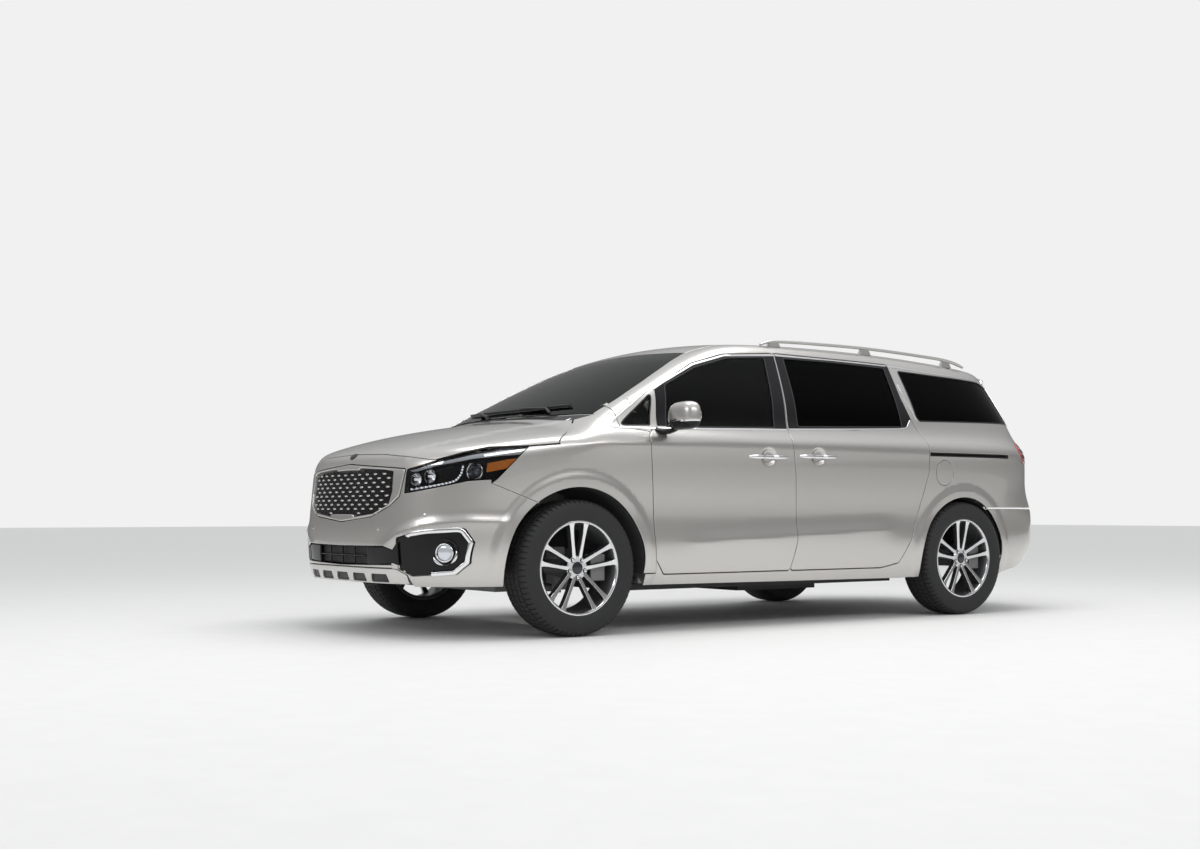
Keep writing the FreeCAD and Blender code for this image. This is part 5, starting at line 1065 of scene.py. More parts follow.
# Head lamps
# A clear lens over a dark bowl: bright strip along the top, a row of small lights that hooks
# up in front of the projector, two reflector bowls inboard and an amber end.
orange = procedural("amber_plastic", (0.85, 0.22, 0.01), rough=0.2, coat=0.6, grain=0.5, grain_size=260.0,
                    spread=0.25)
lit_white = procedural("lamp_white", (0.9, 0.92, 0.95), rough=0.3, glow=0.6, spread=0.02)
lamp_side = [(2.449, 0.898), (2.353, 0.941), (2.207, 0.981), (2.068, 1.006), (1.917, 1.017), (2.012, 0.926),
             (2.091, 0.845), (2.238, 0.834), (2.36, 0.802), (2.462, 0.776)]
lamp_loop = edge_line(("side", lamp_side), ("front", [(0.583, 0.776), (0.583, 0.896)]))


def tray(chart, loop, depth, wall=0.003, gap=seam_gap):
    """An open box under the skin: a wall along the loop and a floor."""
    flat = chart.flat(loop)
    edge = resampled(inset(flat, gap), 0.012)
    inner = inset(edge, wall)
    rings = [chart.skin(edge, 0.0035), chart.skin(inner, 0.0035), chart.skin(inner, depth),
             chart.skin(edge, depth)]
    shape = loft(np.stack(rings, 1), wrap=True)
    found, faces = fill([edge], 0.03)
    high, low = chart.skin(found, depth), chart.skin(found, depth + wall)
    normal = np.cross(high[faces[0][1]] - high[faces[0][0]], high[faces[0][2]] - high[faces[0][0]])
    if normal @ (high[faces[0][0]] - low[faces[0][0]]) < 0:
        faces = faces[:, ::-1]
    return shape.add(high, faces).add(low, faces[:, ::-1])


def on_skin(x=None, y=None, z=None, depth=0.0):
    """A point under the skin, given in side view (x, z) or front view (y, z)."""
    point = spot_on("side", x, z) if y is None else spot_on("front", y, z)
    return point - outward(point[None])[0] * depth


lens = sheet_metal(side_chart, [lamp_loop], step=0.03, thickness=0.0028, lift=0.0, roll=0.001, kinds=(0, 0),
                   gap=0.0012)
lens.doubled().piece("head_lamp_lenses", "body", [lamp_glass], "lamp", ["headlamps"])
bowl = tray(side_chart, lamp_loop, 0.062)
bright_strip = sheet_metal(side_chart, [edge_line(
    ("side", [(2.446, 0.893), (2.353, 0.935), (2.207, 0.975), (2.068, 1.0), (1.93, 1.01), (1.965, 0.978),
              (2.07, 0.968), (2.207, 0.951), (2.353, 0.917), (2.44, 0.881)]))],
    step=0.03, thickness=0.03, lift=-0.008, roll=0.003, kinds=(1, 1))
amber_line = [(2.148, 0.88), (2.14, 0.93), (2.03, 0.952), (1.972, 0.958), (2.025, 0.905)]
amber_end = plate(side_chart, "side", rounded(amber_line, 0.008), 2, step=0.02, thickness=0.03, lift=-0.010,
                  roll=0.003)
lamp_inside = bowl.join(bright_strip).join(amber_end)
light_row = on_side([(2.452, 0.792), (2.36, 0.814), (2.288, 0.834), (2.262, 0.87), (2.252, 0.918)], 0.02,
                    0.004)
row_normal = outward(light_row)
for place, normal in list(zip(light_row, row_normal))[1::4]:
    lamp_inside.join(turned([(-0.02, 0.0045), (-0.006, 0.0052), (-0.0035, 0.0035), (-0.003, 0.0004)], place,
                            normal, 10).marked(3))
lamp_inside.join(moulding(light_row - row_normal * 0.016, 0.013, 0.004, kind=1))
glass_way = unit([0.80, 0.58, 0.05])
eye = on_skin(x=2.2, z=0.886, depth=0.030)
lamp_inside.join(turned([(-0.030, 0.042), (0.002, 0.049), (0.008, 0.048), (0.006, 0.039), (-0.004, 0.035),
                         (-0.030, 0.035)], eye, glass_way, 40, wrap=True).marked(1))
lamp_inside.join(turned([(-0.028, 0.0345), (-0.008, 0.0345), (0.003, 0.030), (0.010, 0.022), (0.014, 0.010),
                         (0.0148, 0.001)], eye, glass_way, 32).marked(4))
bowl_way = unit([0.90, 0.43, 0.02])
for y, z, wide in ((0.630, 0.846, 0.034), (0.702, 0.862, 0.036)):
    lamp_inside.join(turned([(-0.030, wide * 0.4), (-0.018, wide * 0.75), (0.000, wide), (0.004, wide),
                             (0.002, wide * 0.93), (-0.014, wide * 0.66), (-0.024, wide * 0.3),
                             (-0.026, 0.003)], on_skin(y=y, z=z, depth=0.024), bowl_way, 32).marked(1))
    lamp_inside.join(turned([(-0.026, 0.006), (-0.006, 0.006), (-0.002, 0.004), (-0.001, 0.0005)],
                            on_skin(y=y, z=z, depth=0.024), bowl_way, 16).marked(3))
lens_eye = procedural("projector_glass", (0.10, 0.11, 0.13), rough=0.03, metal=0.4, coat=1.0)
lamp_inside.doubled().piece("head_lamp_insides", "body", [gloss_black, chrome, orange, lit_white, lens_eye])

# Grille and lower intake
# A satin frame with a tab at top and bottom centre holds a dark panel of staggered bright
# studs; below are the intake grid between plain end panels and the satin skid plate.
satin = procedural("satin_trim", (0.62, 0.61, 0.59), rough=0.28, metal=0.9, spread=0.03)
dark_plastic = procedural("dark_plastic", (0.022, 0.022, 0.023), rough=0.45, grain=0.3, grain_size=900.0)
inner_half = [(0.0, 0.902), (0.135, 0.899), (0.15, 0.911), (0.4, 0.898), (0.484, 0.888), (0.492, 0.78),
              (0.474, 0.716), (0.387, 0.672), (0.15, 0.650), (0.135, 0.664), (0.0, 0.665)]
inner_outline = rounded(whole(inner_half), 0.010)
frame_ring = sheet_metal(nose_chart, [seen_from("front", inset(grille_outline, 0.0005)),
                                      seen_from("front", inner_outline)],
                         step=0.02, thickness=0.026, lift=0.003, roll=0.006, kinds=(0, 0), gap=0.003)
backing = plate(nose_chart, "front", inset(grille_outline, 0.006), 1, step=0.05, thickness=0.004,
                lift=-0.017, roll=0.001)
grille_face = frame_ring.join(backing)
stud_rows, row_pitch, stud_pitch = 11, 0.0236, 0.088
low_row = 0.668
inner_loop = np.array(inner_outline)
for row in range(stud_rows):
    level = low_row + row * row_pitch
    shift = 0.5 * (row % 2)
    spots = np.array([((k + shift) * stud_pitch, level) for k in range(-7, 8)])
    keep = holds(inner_loop, spots) & (off_line(inner_loop, spots) > 0.011)
    for y, z in spots[keep]:
        middle = on_skin(y=y, z=z, depth=0.017)
        normal = outward(middle[None])[0]
        across = unit(np.cross([0.0, 0.0, 1.0], normal))
        up = np.cross(normal, across)
        stud = [[middle + normal * high + across * a + up * b
                 for a, b in ((long, 0), (0, tall), (-long, 0), (0, -tall))]
                for high, long, tall in ((0.0, 0.027, 0.0085), (0.009, 0.015, 0.0042))]
        grille_face.join(loft(stud).marked(2))
for row in range(-26, 27):
    for lean in (1, -1):
        line = np.array([(row * stud_pitch / 2 + lean * s * stud_pitch / 2 / row_pitch, 0.64 + s)
                         for s in np.linspace(0, 0.29, 60)])
        keep = holds(inner_loop, line) & (off_line(inner_loop, line) > 0.002)
        line = line[keep]
        if len(line) > 3 and np.abs(np.diff(line[:, 1])).max() < 0.006:
            path = seen_from("front", line, 0.05, False)
            path = path - outward(path) * 0.0165
            grille_face.join(tube(path, 0.0028, 6).marked(1))
stud_chrome = procedural("stud_chrome", (0.66, 0.65, 0.63), rough=0.18, metal=1.0, spread=0.03)
grille_face.piece("grille_finished", "body", [satin, gloss_black, stud_chrome], "grille", ["grille"])

intake = plate(nose_chart, "front", inset(intake_outline, 0.001), 1, step=0.05, thickness=0.004,
               lift=-0.030, roll=0.001)
grid_half = 0.297
bars = [([(y, 0.388), (y, 0.486)], 0.012, 0.016, 0.007, 0.006, 2)
        for y in (-grid_half, -0.15, 0.0, 0.15, grid_half)]
bars.append(([(-grid_half, 0.437), (grid_half, 0.437)], 0.02, 0.016, 0.007, 0.006, 2))
bars += [([(-grid_half, level), (grid_half, level)], 0.03, 0.026, 0.0035, 0.004, 1)
         for level in np.arange(0.396, 0.486, 0.0105)]
for ends, step, depth, wide, tall, kind in bars:
    line = seen_from("front", ends, step, False)
    intake.join(moulding(line - outward(line) * depth, wide, tall, kind=kind))
for side in (1, -1):
    panel = [(side * a, b) for a, b in ((0.3, 0.39), (0.528, 0.398), (0.528, 0.47), (0.455, 0.486),
                                        (0.3, 0.484))]
    intake.join(plate(nose_chart, "front", panel, 2, step=0.05, thickness=0.01, lift=-0.008, roll=0.003))
    joint = [(side * a, b) for a, b in ((0.528, 0.40), (0.565, 0.39), (0.565, 0.52), (0.528, 0.476))]
    intake.join(plate(nose_chart, "front", joint, 2, step=0.05, thickness=0.004, lift=0.001, roll=0.002))
skid_half = [(0.0, 0.374), (0.537, 0.373), (0.603, 0.339), (0.603, 0.289), (0.0, 0.289)]
skid_holes = []
for k in range(-2, 3):
    a = 0.2 * k
    hole = [(a - 0.075, 0.3), (a + 0.075, 0.3), (a + 0.064, 0.34), (a - 0.064, 0.34)]
    skid_holes.append(seen_from("front", rounded(hole, 0.008)))
skid = sheet_metal(nose_chart, [seen_from("front", rounded(whole(skid_half), 0.01))] + skid_holes, step=0.03,
                   thickness=0.011, lift=0.0, roll=0.003, kinds=(0, 1), gap=0.001)
skid_back = plate(nose_chart, "front", inset(np.array(whole(skid_half)), 0.004), 1, step=0.05,
                  thickness=0.003, lift=-0.009, roll=0.001)
intake.join(skid).join(skid_back)
intake.piece("lower_grille_finished", "body", [satin, dark_plastic, gloss_black], "dark_trim",
             ["lower_grille"])

# Fog lamps
# Gloss black panels in the bumper corners, each with a bright hooked bezel at its outer end
# and a round lamp in a bright winged ring.
fog = plate(nose_chart, "front", inset(fog_round, 0.0006), step=0.03, thickness=0.01, lift=-0.012, roll=0.002)
bezel_line = [(0.62, 0.553), (0.715, 0.571), (0.836, 0.581), (0.858, 0.515), (0.843, 0.41), (0.802, 0.356),
              (0.72, 0.345)]
bezel_hook = rounded(bezel_line + [(0.66, 0.45)], 0.02)[2:-10]
bezel = seen_from("front", bezel_hook, 0.008, False)
fog.join(moulding(bezel - outward(bezel) * 0.001, 0.026, 0.008, kind=1))
fog_centre = on_skin(y=0.783, z=0.459, depth=0.012)
fog_way = unit(outward(on_skin(y=0.783, z=0.459)[None])[0] * 0.8 + np.array([0.25, 0, 0]))
fog.join(turned([(-0.02, 0.074), (0.003, 0.078), (0.007, 0.074), (-0.004, 0.056), (-0.02, 0.054)], fog_centre,
                fog_way, 48, wrap=True))
fog.join(turned([(-0.02, 0.050), (0.009, 0.0505), (0.013, 0.047), (0.010, 0.043), (-0.02, 0.042)], fog_centre,
                fog_way, 48, wrap=True).marked(1))
fog.join(turned([(-0.02, 0.0415), (0.004, 0.0415), (0.009, 0.034), (0.012, 0.018), (0.0125, 0.001)],
                fog_centre, fog_way, 40).marked(2))
fog_across = unit(np.cross([0, 0, 1.0], fog_way))
for side, low, high in ((1, -60, 12), (-1, 195, 262)):
    arc = [fog_centre + fog_way * 0.003 + fog_across * 0.066 * math.cos(math.radians(t)) +
           np.array([0, 0, 1]) * 0.064 * math.sin(math.radians(t)) for t in np.linspace(low, high, 16)]
    swell = 0.0015 + 0.0075 * np.sin(np.linspace(0, math.pi, 16))
    fog.join(tube(arc, swell, 10).marked(1))
fog_glass = procedural("fog_glass", (0.62, 0.65, 0.70), rough=0.12, metal=0.5, coat=1.0, grain=0.3,
                       grain_size=200.0)
fog.doubled().piece("fog_lamps_finished", "body", [gloss_black, chrome, fog_glass], "lamp", ["fog_lamps"])

# Tail of the van
# Red wrap-round tail lamps with a dark inner strip, a lip spoiler with the high brake lamp,
# a bright bar over a bare plate recess, and the rear wiper.
red_lens = procedural("red_lens", (0.42, 0.006, 0.008), rough=0.12, coat=1.0, grain=0.4, grain_size=220.0,
                      spread=0.25)
tail_loop = edge_line(("side", [(-2.24, 0.9965), (-2.126, 1.0145), (-2.0725, 1.108), (-2.139, 1.1595)]),
                      ("rear", [(0.789, 1.163), (0.7815, 1.0)]))
tail = sheet_metal(side_chart, [tail_loop], step=0.03, thickness=0.035, lift=0.002, roll=0.006, kinds=(0, 1),
                   gap=seam_gap)
for low, high in ((0.24, 0.42), (0.5, 0.68), (0.76, 0.92)):
    ends = [(-2.136 + 0.028 * math.sin(share * 3.1), 1.0 + 0.155 * share) for share in (low, high)]
    (low_x, low_z), (high_x, high_z) = ends
    bar = [(-2.225, low_z), (low_x - 0.012, low_z + 0.004), (high_x - 0.016, high_z + 0.004),
           (-2.225, high_z)]
    tail.join(plate(side_chart, "side", rounded(bar, 0.004), 1, step=0.03, thickness=0.003, lift=0.0032,
                    roll=0.001))
tail.doubled().piece("tail_lamps_finished", "body", [red_lens, gloss_black], "red_lamp", ["tail_lamps"])

spoiler_rings = []
for y in np.linspace(-0.585, 0.585, 47):
    end = (abs(y) / 0.585) ** 4
    root = spot_on("top", -2.086, y)
    under = spot_on("rear", y, 1.585 - 0.018 * (y / 0.585) ** 2)
    tip = under + np.array([-0.030 + 0.022 * end, 0, 0.026])
    middle = (root + tip) / 2 + np.array([0, 0, 0.0065])
    spoiler_rings.append([root + [0, 0, -0.006], root + [0, 0, 0.0008], middle, tip + [0.012, 0, 0.009],
                          tip + [0.003, 0, 0.006], tip, tip + [0.004, 0, -0.008], under + [-0.002, 0, 0.003],
                          under + [0.02, 0, 0.0]])
spoiler = loft(spoiler_rings)
brake_line = seen_from("rear", [(-0.19, 1.597), (0.19, 1.597)], 0.03, False) + np.array([-0.0225, 0, 0.004])
spoiler.join(tube(brake_line, 0.006, 8, 0.7).marked(1))
spoiler.piece("spoiler", "tailgate", [silver, red_lens], "paint")

plate_recess = rounded(whole([(0.0, 0.865), (0.28, 0.865), (0.275, 0.985), (0.0, 0.985)]), 0.014)
gate_trim = plate(tail_chart, "rear", plate_recess, 1, step=0.05, thickness=0.004, lift=0.0005, roll=0.002)
bar = rounded(whole([(0.0, 0.998), (0.46, 0.996), (0.475, 1.010), (0.46, 1.028), (0.0, 1.034)]), 0.008)
gate_trim.join(plate(tail_chart, "rear", bar, step=0.03, thickness=0.006, lift=0.008, roll=0.004))
gate_trim.join(moulding(seen_from("rear", rear_window, 0.015), 0.010, 0.002, closed=True, kind=1))
wiper_path = [(0.0, 1.235), (0.10, 1.242), (0.33, 1.262)]
wiper_line = seen_from("rear", wiper_path, 0.02, False)
gate_trim.join(moulding(wiper_line + outward(wiper_line) * 0.006, 0.014, 0.012, kind=1))
gate_trim.join(turned([(-0.006, 0.022), (0.018, 0.021), (0.022, 0.015), (0.023, 0.001)],
                      spot_on("rear", 0.0, 1.235), (-1, 0, 0.2), 24).marked(1))
gate_trim.piece("tailgate_trim", "tailgate", [chrome, gloss_black])

# Roof rails, slot and fuel flap
# Satin rails on short feet; a dark slot behind each sliding door; the round flap on the left
# closes a small well with a black cap and swings on a goose neck.
rail_y = 0.655
rail_side = [(0.046, 1.706), (0.0, 1.722), (-0.095, 1.733), (-0.45, 1.7395), (-0.78, 1.740), (-1.2, 1.729),
             (-1.471, 1.717), (-1.72, 1.690), (-1.80, 1.668)]
rail_path = bend([(x, rail_y, z) for x, z in rail_side], 0.02)
rail = tube(rail_path, np.where((rail_path[:, 0] > 0.02) | (rail_path[:, 0] < -1.78), 0.010, 0.0135), 14,
            0.75)
for x in (-0.06, -0.85, -1.62):
    foot = spot_on("top", x, rail_y)
    corners = ((1, 1), (-1, 1), (-1, -1), (1, -1))
    head_z = 1.735 if x > -1.5 else 1.70
    rail.join(loft([[foot + [a * 0.05, b * 0.014, -0.004] for a, b in corners],
                    [(x + a * 0.03, rail_y + b * 0.009, head_z) for a, b in corners]]))
rail.doubled().piece("roof_rails_finished", "body", [satin], "silver_trim", ["roof_rails"])

slot_tray = tray(side_chart, seen_from("side", slot_outline), 0.030, 0.002)
slot_tray.doubled().piece("slide_slots", "body", [dark_plastic])
flap = sheet_metal(side_chart, [flap_loop], step=0.02, thickness=0.006, gap=0.0014, roll=0.0015)
goose_neck = bend([(-1.136, 0.968, 0.927), (-1.142, 0.932, 0.927), (-1.172, 0.928, 0.927),
                   (-1.192, 0.945, 0.927), (-1.200, 0.978, 0.927)], 0.006)
flap.join(tube(goose_neck, 0.0045, 10).marked(1))
flap.piece("fuel_flap_skin", "fuel_flap", [silver, dark_plastic], "paint", ["fuel_flap"])
well = tray(side_chart, flap_loop, 0.060, 0.002, 0.0)
well.join(turned([(-0.05, 0.034), (-0.030, 0.034), (-0.027, 0.030), (-0.027, 0.001)],
                 on_skin(x=-1.262, z=0.927, depth=0.0), (0, 1, 0.02), 32))
well.piece("fuel_well", "body", [dark_plastic])

# Posts and hinges
# Behind the door edges stand the centre pillars and the front hinge posts, with two cast
# hinges to each door, and the two arms that carry the hood.
post_low = [(-0.02, 0.26), (-0.02, 1.12), (0.13, 1.12), (0.13, 0.26)]
post_high = [(-0.022, 1.1), (-0.07, 1.64), (0.058, 1.64), (0.13, 1.1)]
posts = plate(side_chart, "side", post_low, step=0.06, thickness=0.045, lift=-0.110)
posts.join(plate(side_chart, "side", post_high, step=0.06, thickness=0.045, lift=-0.0475))


def beam(x, y, z, kind=0):
    """A plain pressed box with small radii, given by its three ranges."""
    flat = rounded([(x[0], y[0]), (x[1], y[0]), (x[1], y[1]), (x[0], y[1])], 0.006)
    return loft([[(a, b, c) for a, b in flat] for c in z]).marked(kind)


posts.join(beam((1.035, 1.125), (0.782, 0.842), (0.27, 1.165)))
door_pin, hinge_levels = (1.208, 0.967), (0.800, 0.980)
for z in hinge_levels:
    leaf = [(*spot, z - 0.018) for spot in ((1.10, 0.835), (1.165, 0.86), (1.195, 0.93), door_pin)]
    posts.join(tube(bend(leaf, 0.01), 0.006, 10))
posts.doubled().piece("inner_posts", "body", [silver])
door_arms = Shape()
for z in hinge_levels:
    arm = np.array([(*spot, z) for spot in ((1.085, 0.896), (1.131, 0.896), (1.172, 0.884), door_pin)])
    door_arms.join(tube(resampled(arm, 0.008, False), 0.004, 10))
    door_arms.join(turned([(-0.012, 0.006), (0.012, 0.006)], (*door_pin, z), (0, 0, 1), 20))
door_pair(door_arms, "door_hinges", [silver])
hood_pin = (1.45, 0.68, 1.199)
hood_arms = tube(bend([hood_pin, (1.505, 0.68, 1.182), (1.56, 0.68, 1.151)], 0.01), 0.006, 10)
hood_arms.join(turned([(-0.006, 0.008), (0.006, 0.008)], hood_pin, (0, 1, 0), 20))
hood_arms.doubled().piece("hood_hinges", "hood", [silver])

# Cowl, wipers, badge and sensors
# A dark louvred panel lies between hood and windscreen; two wipers rest on it. The badge on
# the hood's nose is a plain dark oval, and round parking sensors sit in both bumpers.
cowl_half = [(1.612, 0.0), (1.592, 0.3), (1.536, 0.6), (1.486, 0.733), (1.412, 0.806), (1.4, 0.79),
             (1.475, 0.56), (1.53, 0.3), (1.55, 0.0)]
cowl = sheet_metal(top_chart, [both_halves(edge_line(("top", cowl_half)))], step=0.03, thickness=0.016,
                   lift=-0.008, roll=0.002, kinds=(0, 0), gap=seam_gap)
for k in range(4):
    for side in (1, -1):
        line = seen_from("top", [(1.592 - 0.010 * k - 0.16 * (y / 0.5) ** 2 * 0.42, side * y)
                                 for y in np.linspace(0.05, 0.55, 12)], 0.05, False)
        cowl.join(moulding(line - outward(line) * 0.008, 0.0045, 0.003))
cowl.piece("cowl_finished", "body", [dark_plastic], "dark_trim", ["cowl"])
wipers = Shape()
for pivot, reach_y in ((0.50, -0.10), (-0.08, -0.62)):
    blade = [(1.505 - 0.20 * (y / 0.8) ** 2 - 0.03, y) for y in np.linspace(pivot + 0.05, reach_y, 16)]
    line = seen_from("top", blade, 0.05, False)
    wipers.join(moulding(line + outward(line) * 0.002, 0.009, 0.012))
    arm = seen_from("top", [(1.555 - 0.16 * (pivot / 0.8) ** 2, pivot),
                            (1.515 - 0.16 * (pivot / 0.8) ** 2, pivot - 0.10), blade[9]], 0.02, False)
    wipers.join(moulding(arm + outward(arm) * 0.010, 0.014, 0.010))
wipers.piece("wipers", "body", [dark_plastic])
badge_loop = seen_from("top", [(2.475 + 0.016 * math.cos(t), 0.034 * math.sin(t)) for t in turns(40)], 0.02)
badge = sheet_metal(hood_chart, [badge_loop], step=0.02, thickness=0.004, lift=0.003, roll=0.002,
                    kinds=(0, 0))
badge.piece("blank_badge", "hood", [gloss_black])
sensors = Shape()
for spot in (spot_on("front", 0.41, 0.585), spot_on("front", 0.70, 0.655), spot_on("rear", 0.35, 0.56),
             spot_on("rear", 0.7, 0.56)):
    way = outward(spot[None])[0]
    sensors.join(turned([(-0.003, 0.0115), (0.0006, 0.0112), (0.0012, 0.0100), (0.0014, 0.0005)], spot, way,
                        20))
sensors.doubled().piece("parking_sensors", "body", [silver])

# Seats and dashboard
# Foam seats in dark cloth: cushions with raised sides, leaning backs and head rests, and a
# bench behind. A hooded dial cluster and a centre screen stand on the dashboard.
seat_cloth = procedural("seat_cloth", (0.15, 0.14, 0.125), rough=0.9, grain=0.8, grain_size=1400.0,
                        spread=0.2)
lean = math.radians(14.0)


def pad(low, high, bolster=0.02, crown=0.012, seams=(), pivot=None):
    """A stuffed block: crowned faces, soft corners, raised sides and sewn channels."""
    low, high = np.array(low), np.array(high)
    centre, half = (low + high) / 2, (high - low) / 2
    count = 22
    ticks = np.sin(np.linspace(-math.pi / 2, math.pi / 2, count))
    shape = Shape()
    for axis in range(3):
        for sign in (1, -1):
            u, v = np.meshgrid(ticks, ticks, indexing="ij")
            cube = np.zeros((count, count, 3))
            cube[..., axis], cube[..., (axis + 1) % 3], cube[..., (axis + 2) % 3] = sign, u, v
            size = np.sum(np.abs(cube) ** 7, axis=2) ** (1 / 7)
            spot = cube / size[..., None]
            thin = int(np.argmin(half))
            swell = (1 - spot[..., (thin + 1) % 3] ** 2) * (1 - spot[..., (thin + 2) % 3] ** 2)
            place = spot * half
            place[..., thin] += np.sign(spot[..., thin]) * crown * swell * (np.abs(spot[..., thin]) > 0.6)
            face = spot[..., thin] > 0.6
            side = ease((np.abs(spot[..., 1]) - 0.62) / 0.25)
            place[..., thin] += face * (bolster * side - bolster * 0.6)
            for at in seams:
                place[..., thin] -= face * 0.006 * np.exp(-((np.abs(spot[..., 1]) - at) / 0.025) ** 2)
            points = (place + centre).reshape(-1, 3)
            quads = []
            for i in range(count - 1):
                for j in range(count - 1):
                    a = i * count + j
                    quad = [a, a + count, a + count + 1, a + 1]
                    quads.append(quad if sign > 0 else quad[::-1])
            shape.add(points, quads)
    if pivot is not None:
        c, s = math.cos(lean), math.sin(lean)
        turn = np.array([[c, 0, -s], [0, 1, 0], [s, 0, c]])
        shape.points = [(p - pivot) @ turn.T + pivot for p in shape.points]
    return shape


def welded(shape, name, replaces=()):
    """A cloth piece whose faces share their edges, as sewn covers do."""
    thing = shape.piece(name, "body", [seat_cloth], "seat_cloth")
    work = bmesh.new()
    work.from_mesh(thing.data)
    bmesh.ops.remove_doubles(work, verts=work.verts, dist=0.0002)
    work.to_mesh(thing.data)
    work.free()
    if replaces:
        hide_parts(*replaces)
    return thing


pair, bench = (0.375, -0.375), (0.0,)
rows = (("front_seats", -0.030, pair, 0.5, 0.442), ("middle_seats", -0.770, pair, 0.5, 0.442),
        ("rear_bench", -1.720, bench, 1.2, 0.634))
for name, back, places, wide, low in rows:
    cushions, backs, rests = Shape(), Shape(), Shape()
    pivot = np.array([back - 0.0003, 0.0, low])
    for y in places:
        inner, outer = y - wide / 2 + 0.004, y + wide / 2 - 0.004
        seams, heads = ((0.33, 0.8), (-0.42, 0.0, 0.42)) if places is bench else ((0.6, 0.2), (y,))
        cushions.join(pad((back + 0.004, inner, low + 0.002), (back + 0.496, outer, low + 0.148),
                          0.022, 0.012, seams))
        backs.join(pad((back - 0.126, inner, low + 0.002), (back - 0.004, outer, low + 0.708),
                       0.022, 0.010, seams, pivot))
        for head in heads:
            rests.join(pad((back - 0.126, head - 0.12, low + 0.715), (back - 0.036, head + 0.12, low + 0.885),
                           0.0, 0.012, (), pivot))
    for part, kind in ((cushions, "cushions"), (backs, "backs"), (rests, "head_rests")):
        first = (name, kind) == ("front_seats", "cushions")
        welded(part, f"{name}_{kind}", ["seats"] if first else ())

cluster = beam((0.80, 0.98), (0.22, 0.54), (1.08, 1.13))
cluster.join(beam((0.775, 0.80), (-0.14, 0.14), (0.93, 1.09), 1))
for y in (-0.62, -0.42, 0.16, 0.62):
    cluster.join(beam((0.732, 0.76), (y - 0.05, y + 0.05), (0.945, 0.99), 1))
cluster.join(beam((0.40, 0.76), (-0.12, 0.12), (0.50, 0.72)))
cluster.join(tube(bend([(0.60, 0.0, 0.70), (0.61, 0.0, 0.78), (0.62, 0.0, 0.86)], 0.01), 0.012, 12))
cluster.piece("dash_fittings", "body", [cabin_trim, gloss_black])

# Carried parts
# Cast, pressed and moulded pieces below and inside keep their form and get their finish.
cast_metal = procedural("cast_metal", (0.22, 0.22, 0.22), rough=0.55, metal=0.7, grain=0.5, grain_size=500.0,
                        spread=0.2)
under_coat = procedural("under_coat", (0.035, 0.035, 0.036), rough=0.85, grain=0.6, grain_size=300.0,
                        spread=0.3)
steel_tube = procedural("steel_tube", (0.36, 0.35, 0.33), rough=0.4, metal=0.9, grain=0.2, grain_size=200.0,
                        spread=0.2)
wheel_skin = procedural("wheel_skin", (0.03, 0.029, 0.028), rough=0.6, grain=0.6, grain_size=1500.0,
                        spread=0.2)
for name, finish in (("dashboard", cabin_trim), ("steering_wheel", wheel_skin), ("floor_pan", under_coat),
                     ("arch_liners", under_coat), ("engine", cast_metal), ("fuel_tank", under_coat),
                     ("exhaust", steel_tube), ("front_subframe", cast_metal), ("rear_axle", cast_metal),
                     ("knuckle_left", cast_metal), ("knuckle_right", cast_metal)):
    materials = bpy.data.objects[name].data.materials
    materials.clear()
    materials.append(finish)

# Floor, light and camera
# A plain pale floor, soft light from above and the side, and the photograph's own viewpoint.
floor_mesh = bpy.data.meshes.new("floor")
floor_mesh.from_pydata([(-60, -60, -0.0005), (60, -60, -0.0005), (60, 60, -0.0005), (-60, 60, -0.0005)], [],
                       [(0, 1, 2, 3)])
floor = bpy.data.objects.new("floor", floor_mesh)
bpy.context.scene.collection.objects.link(floor)
floor_mesh.materials.append(procedural("floor_paint", (0.74, 0.74, 0.73), rough=0.6, spread=0.01,
                                       grain_size=6.0))

world = bpy.data.worlds.new("soft_room")
bpy.context.scene.world = world
world.use_nodes = True
sky_nodes, sky_links = world.node_tree.nodes, world.node_tree.links
shown = sky_nodes["Background"]
shown.inputs["Color"].default_value = (0.88, 0.88, 0.88, 1)
room = sky_nodes.new("ShaderNodeBackground")
room.inputs["Color"].default_value = (0.93, 0.94, 0.95, 1)
room.inputs["Strength"].default_value = 0.95
mirrored_room = sky_nodes.new("ShaderNodeBackground")
gaze = sky_nodes.new("ShaderNodeTexCoord")
split = sky_nodes.new("ShaderNodeSeparateXYZ")
walls = sky_nodes.new("ShaderNodeValToRGB")
walls.color_ramp.elements[0].position, walls.color_ramp.elements[0].color = 0.0, (0.16, 0.155, 0.15, 1)
walls.color_ramp.elements[1].position, walls.color_ramp.elements[1].color = 0.75, (0.80, 0.81, 0.83, 1)
middle = walls.color_ramp.elements.new(0.3)
middle.color = (0.34, 0.34, 0.345, 1)
sky_links.new(gaze.outputs["Generated"], split.inputs["Vector"])
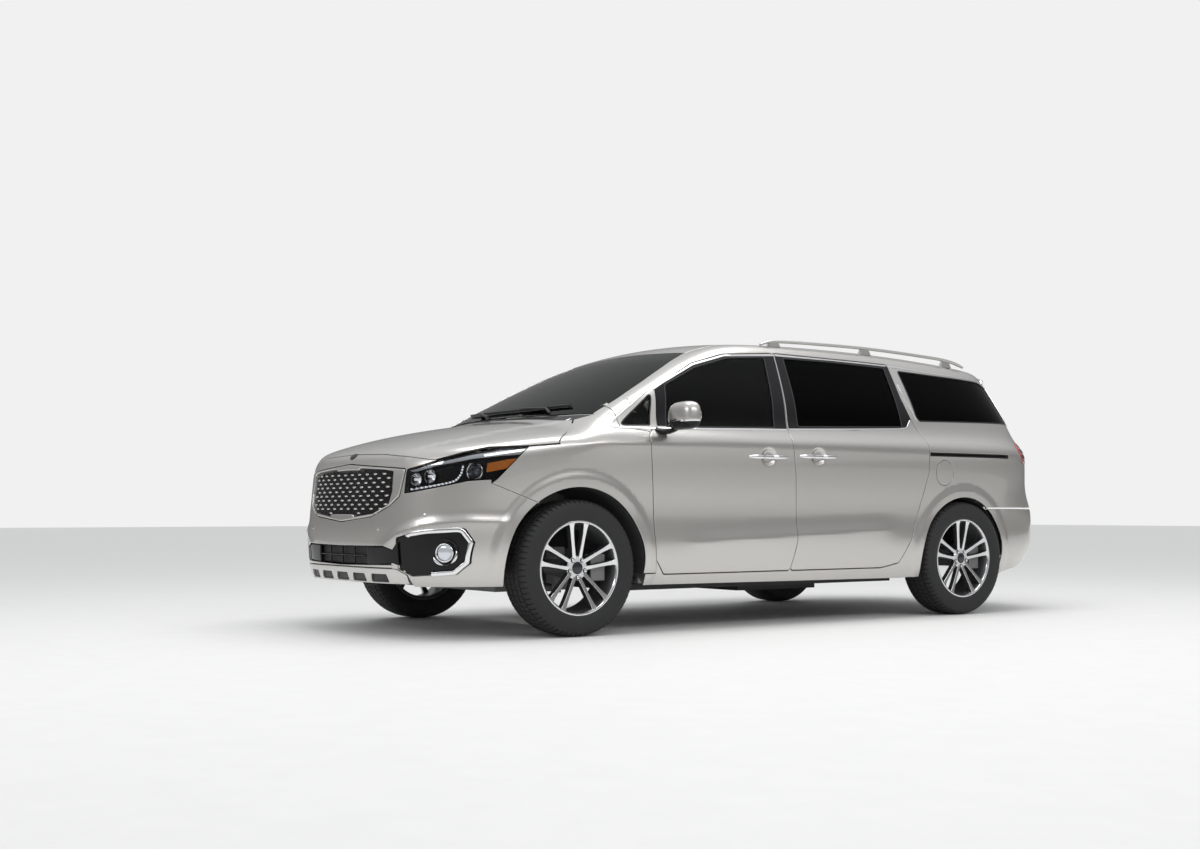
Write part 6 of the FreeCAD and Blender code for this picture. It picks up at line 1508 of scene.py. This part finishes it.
sky_links.new(split.outputs["Z"], walls.inputs["Fac"])
sky_links.new(walls.outputs["Color"], mirrored_room.inputs["Color"])
path = sky_nodes.new("ShaderNodeLightPath")
by_gloss, by_camera = sky_nodes.new("ShaderNodeMixShader"), sky_nodes.new("ShaderNodeMixShader")
sky_links.new(path.outputs["Is Glossy Ray"], by_gloss.inputs["Fac"])
sky_links.new(room.outputs["Background"], by_gloss.inputs[1])
sky_links.new(mirrored_room.outputs["Background"], by_gloss.inputs[2])
sky_links.new(path.outputs["Is Camera Ray"], by_camera.inputs["Fac"])
sky_links.new(by_gloss.outputs["Shader"], by_camera.inputs[1])
sky_links.new(shown.outputs["Background"], by_camera.inputs[2])
sky_links.new(by_camera.outputs["Shader"], sky_nodes["World Output"].inputs["Surface"])


def soft_light(name, place, aim, wide, tall, power):
    """A large soft lamp that faces one spot."""
    data = bpy.data.lights.new(name, "AREA")
    data.shape = "RECTANGLE"
    data.size, data.size_y, data.energy = wide, tall, power
    lamp = bpy.data.objects.new(name, data)
    lamp.location = place
    lamp.rotation_euler = (Vector(aim) - Vector(place)).to_track_quat("-Z", "Y").to_euler()
    bpy.context.scene.collection.objects.link(lamp)


soft_light("overhead", (0.0, 0.6, 6.0), (0.0, 0.2, 0.0), 6.0, 2.4, 190.0)
soft_light("side_panel", (0.6, 8.0, 5.2), (0.0, 0.5, 0.8), 8.0, 1.4, 130.0)
soft_light("nose_panel", (8.5, 1.5, 4.2), (2.0, 0.2, 0.7), 3.5, 1.4, 70.0)

camera_data = bpy.data.cameras.new("viewpoint")
camera = bpy.data.objects.new("viewpoint", camera_data)
bpy.context.scene.collection.objects.link(camera)
bpy.context.scene.camera = camera
camera.location = (6.12088, 7.53031, 0.67042)
camera.rotation_euler = (math.radians(90), 0, math.radians(234.7236 - 90))
camera_data.sensor_width = 36.0
camera_data.lens = 44.36
camera_data.shift_y = 0.0733
camera_data.clip_start, camera_data.clip_end = 0.05, 300.0
bpy.context.scene.view_settings.view_transform = "Standard"
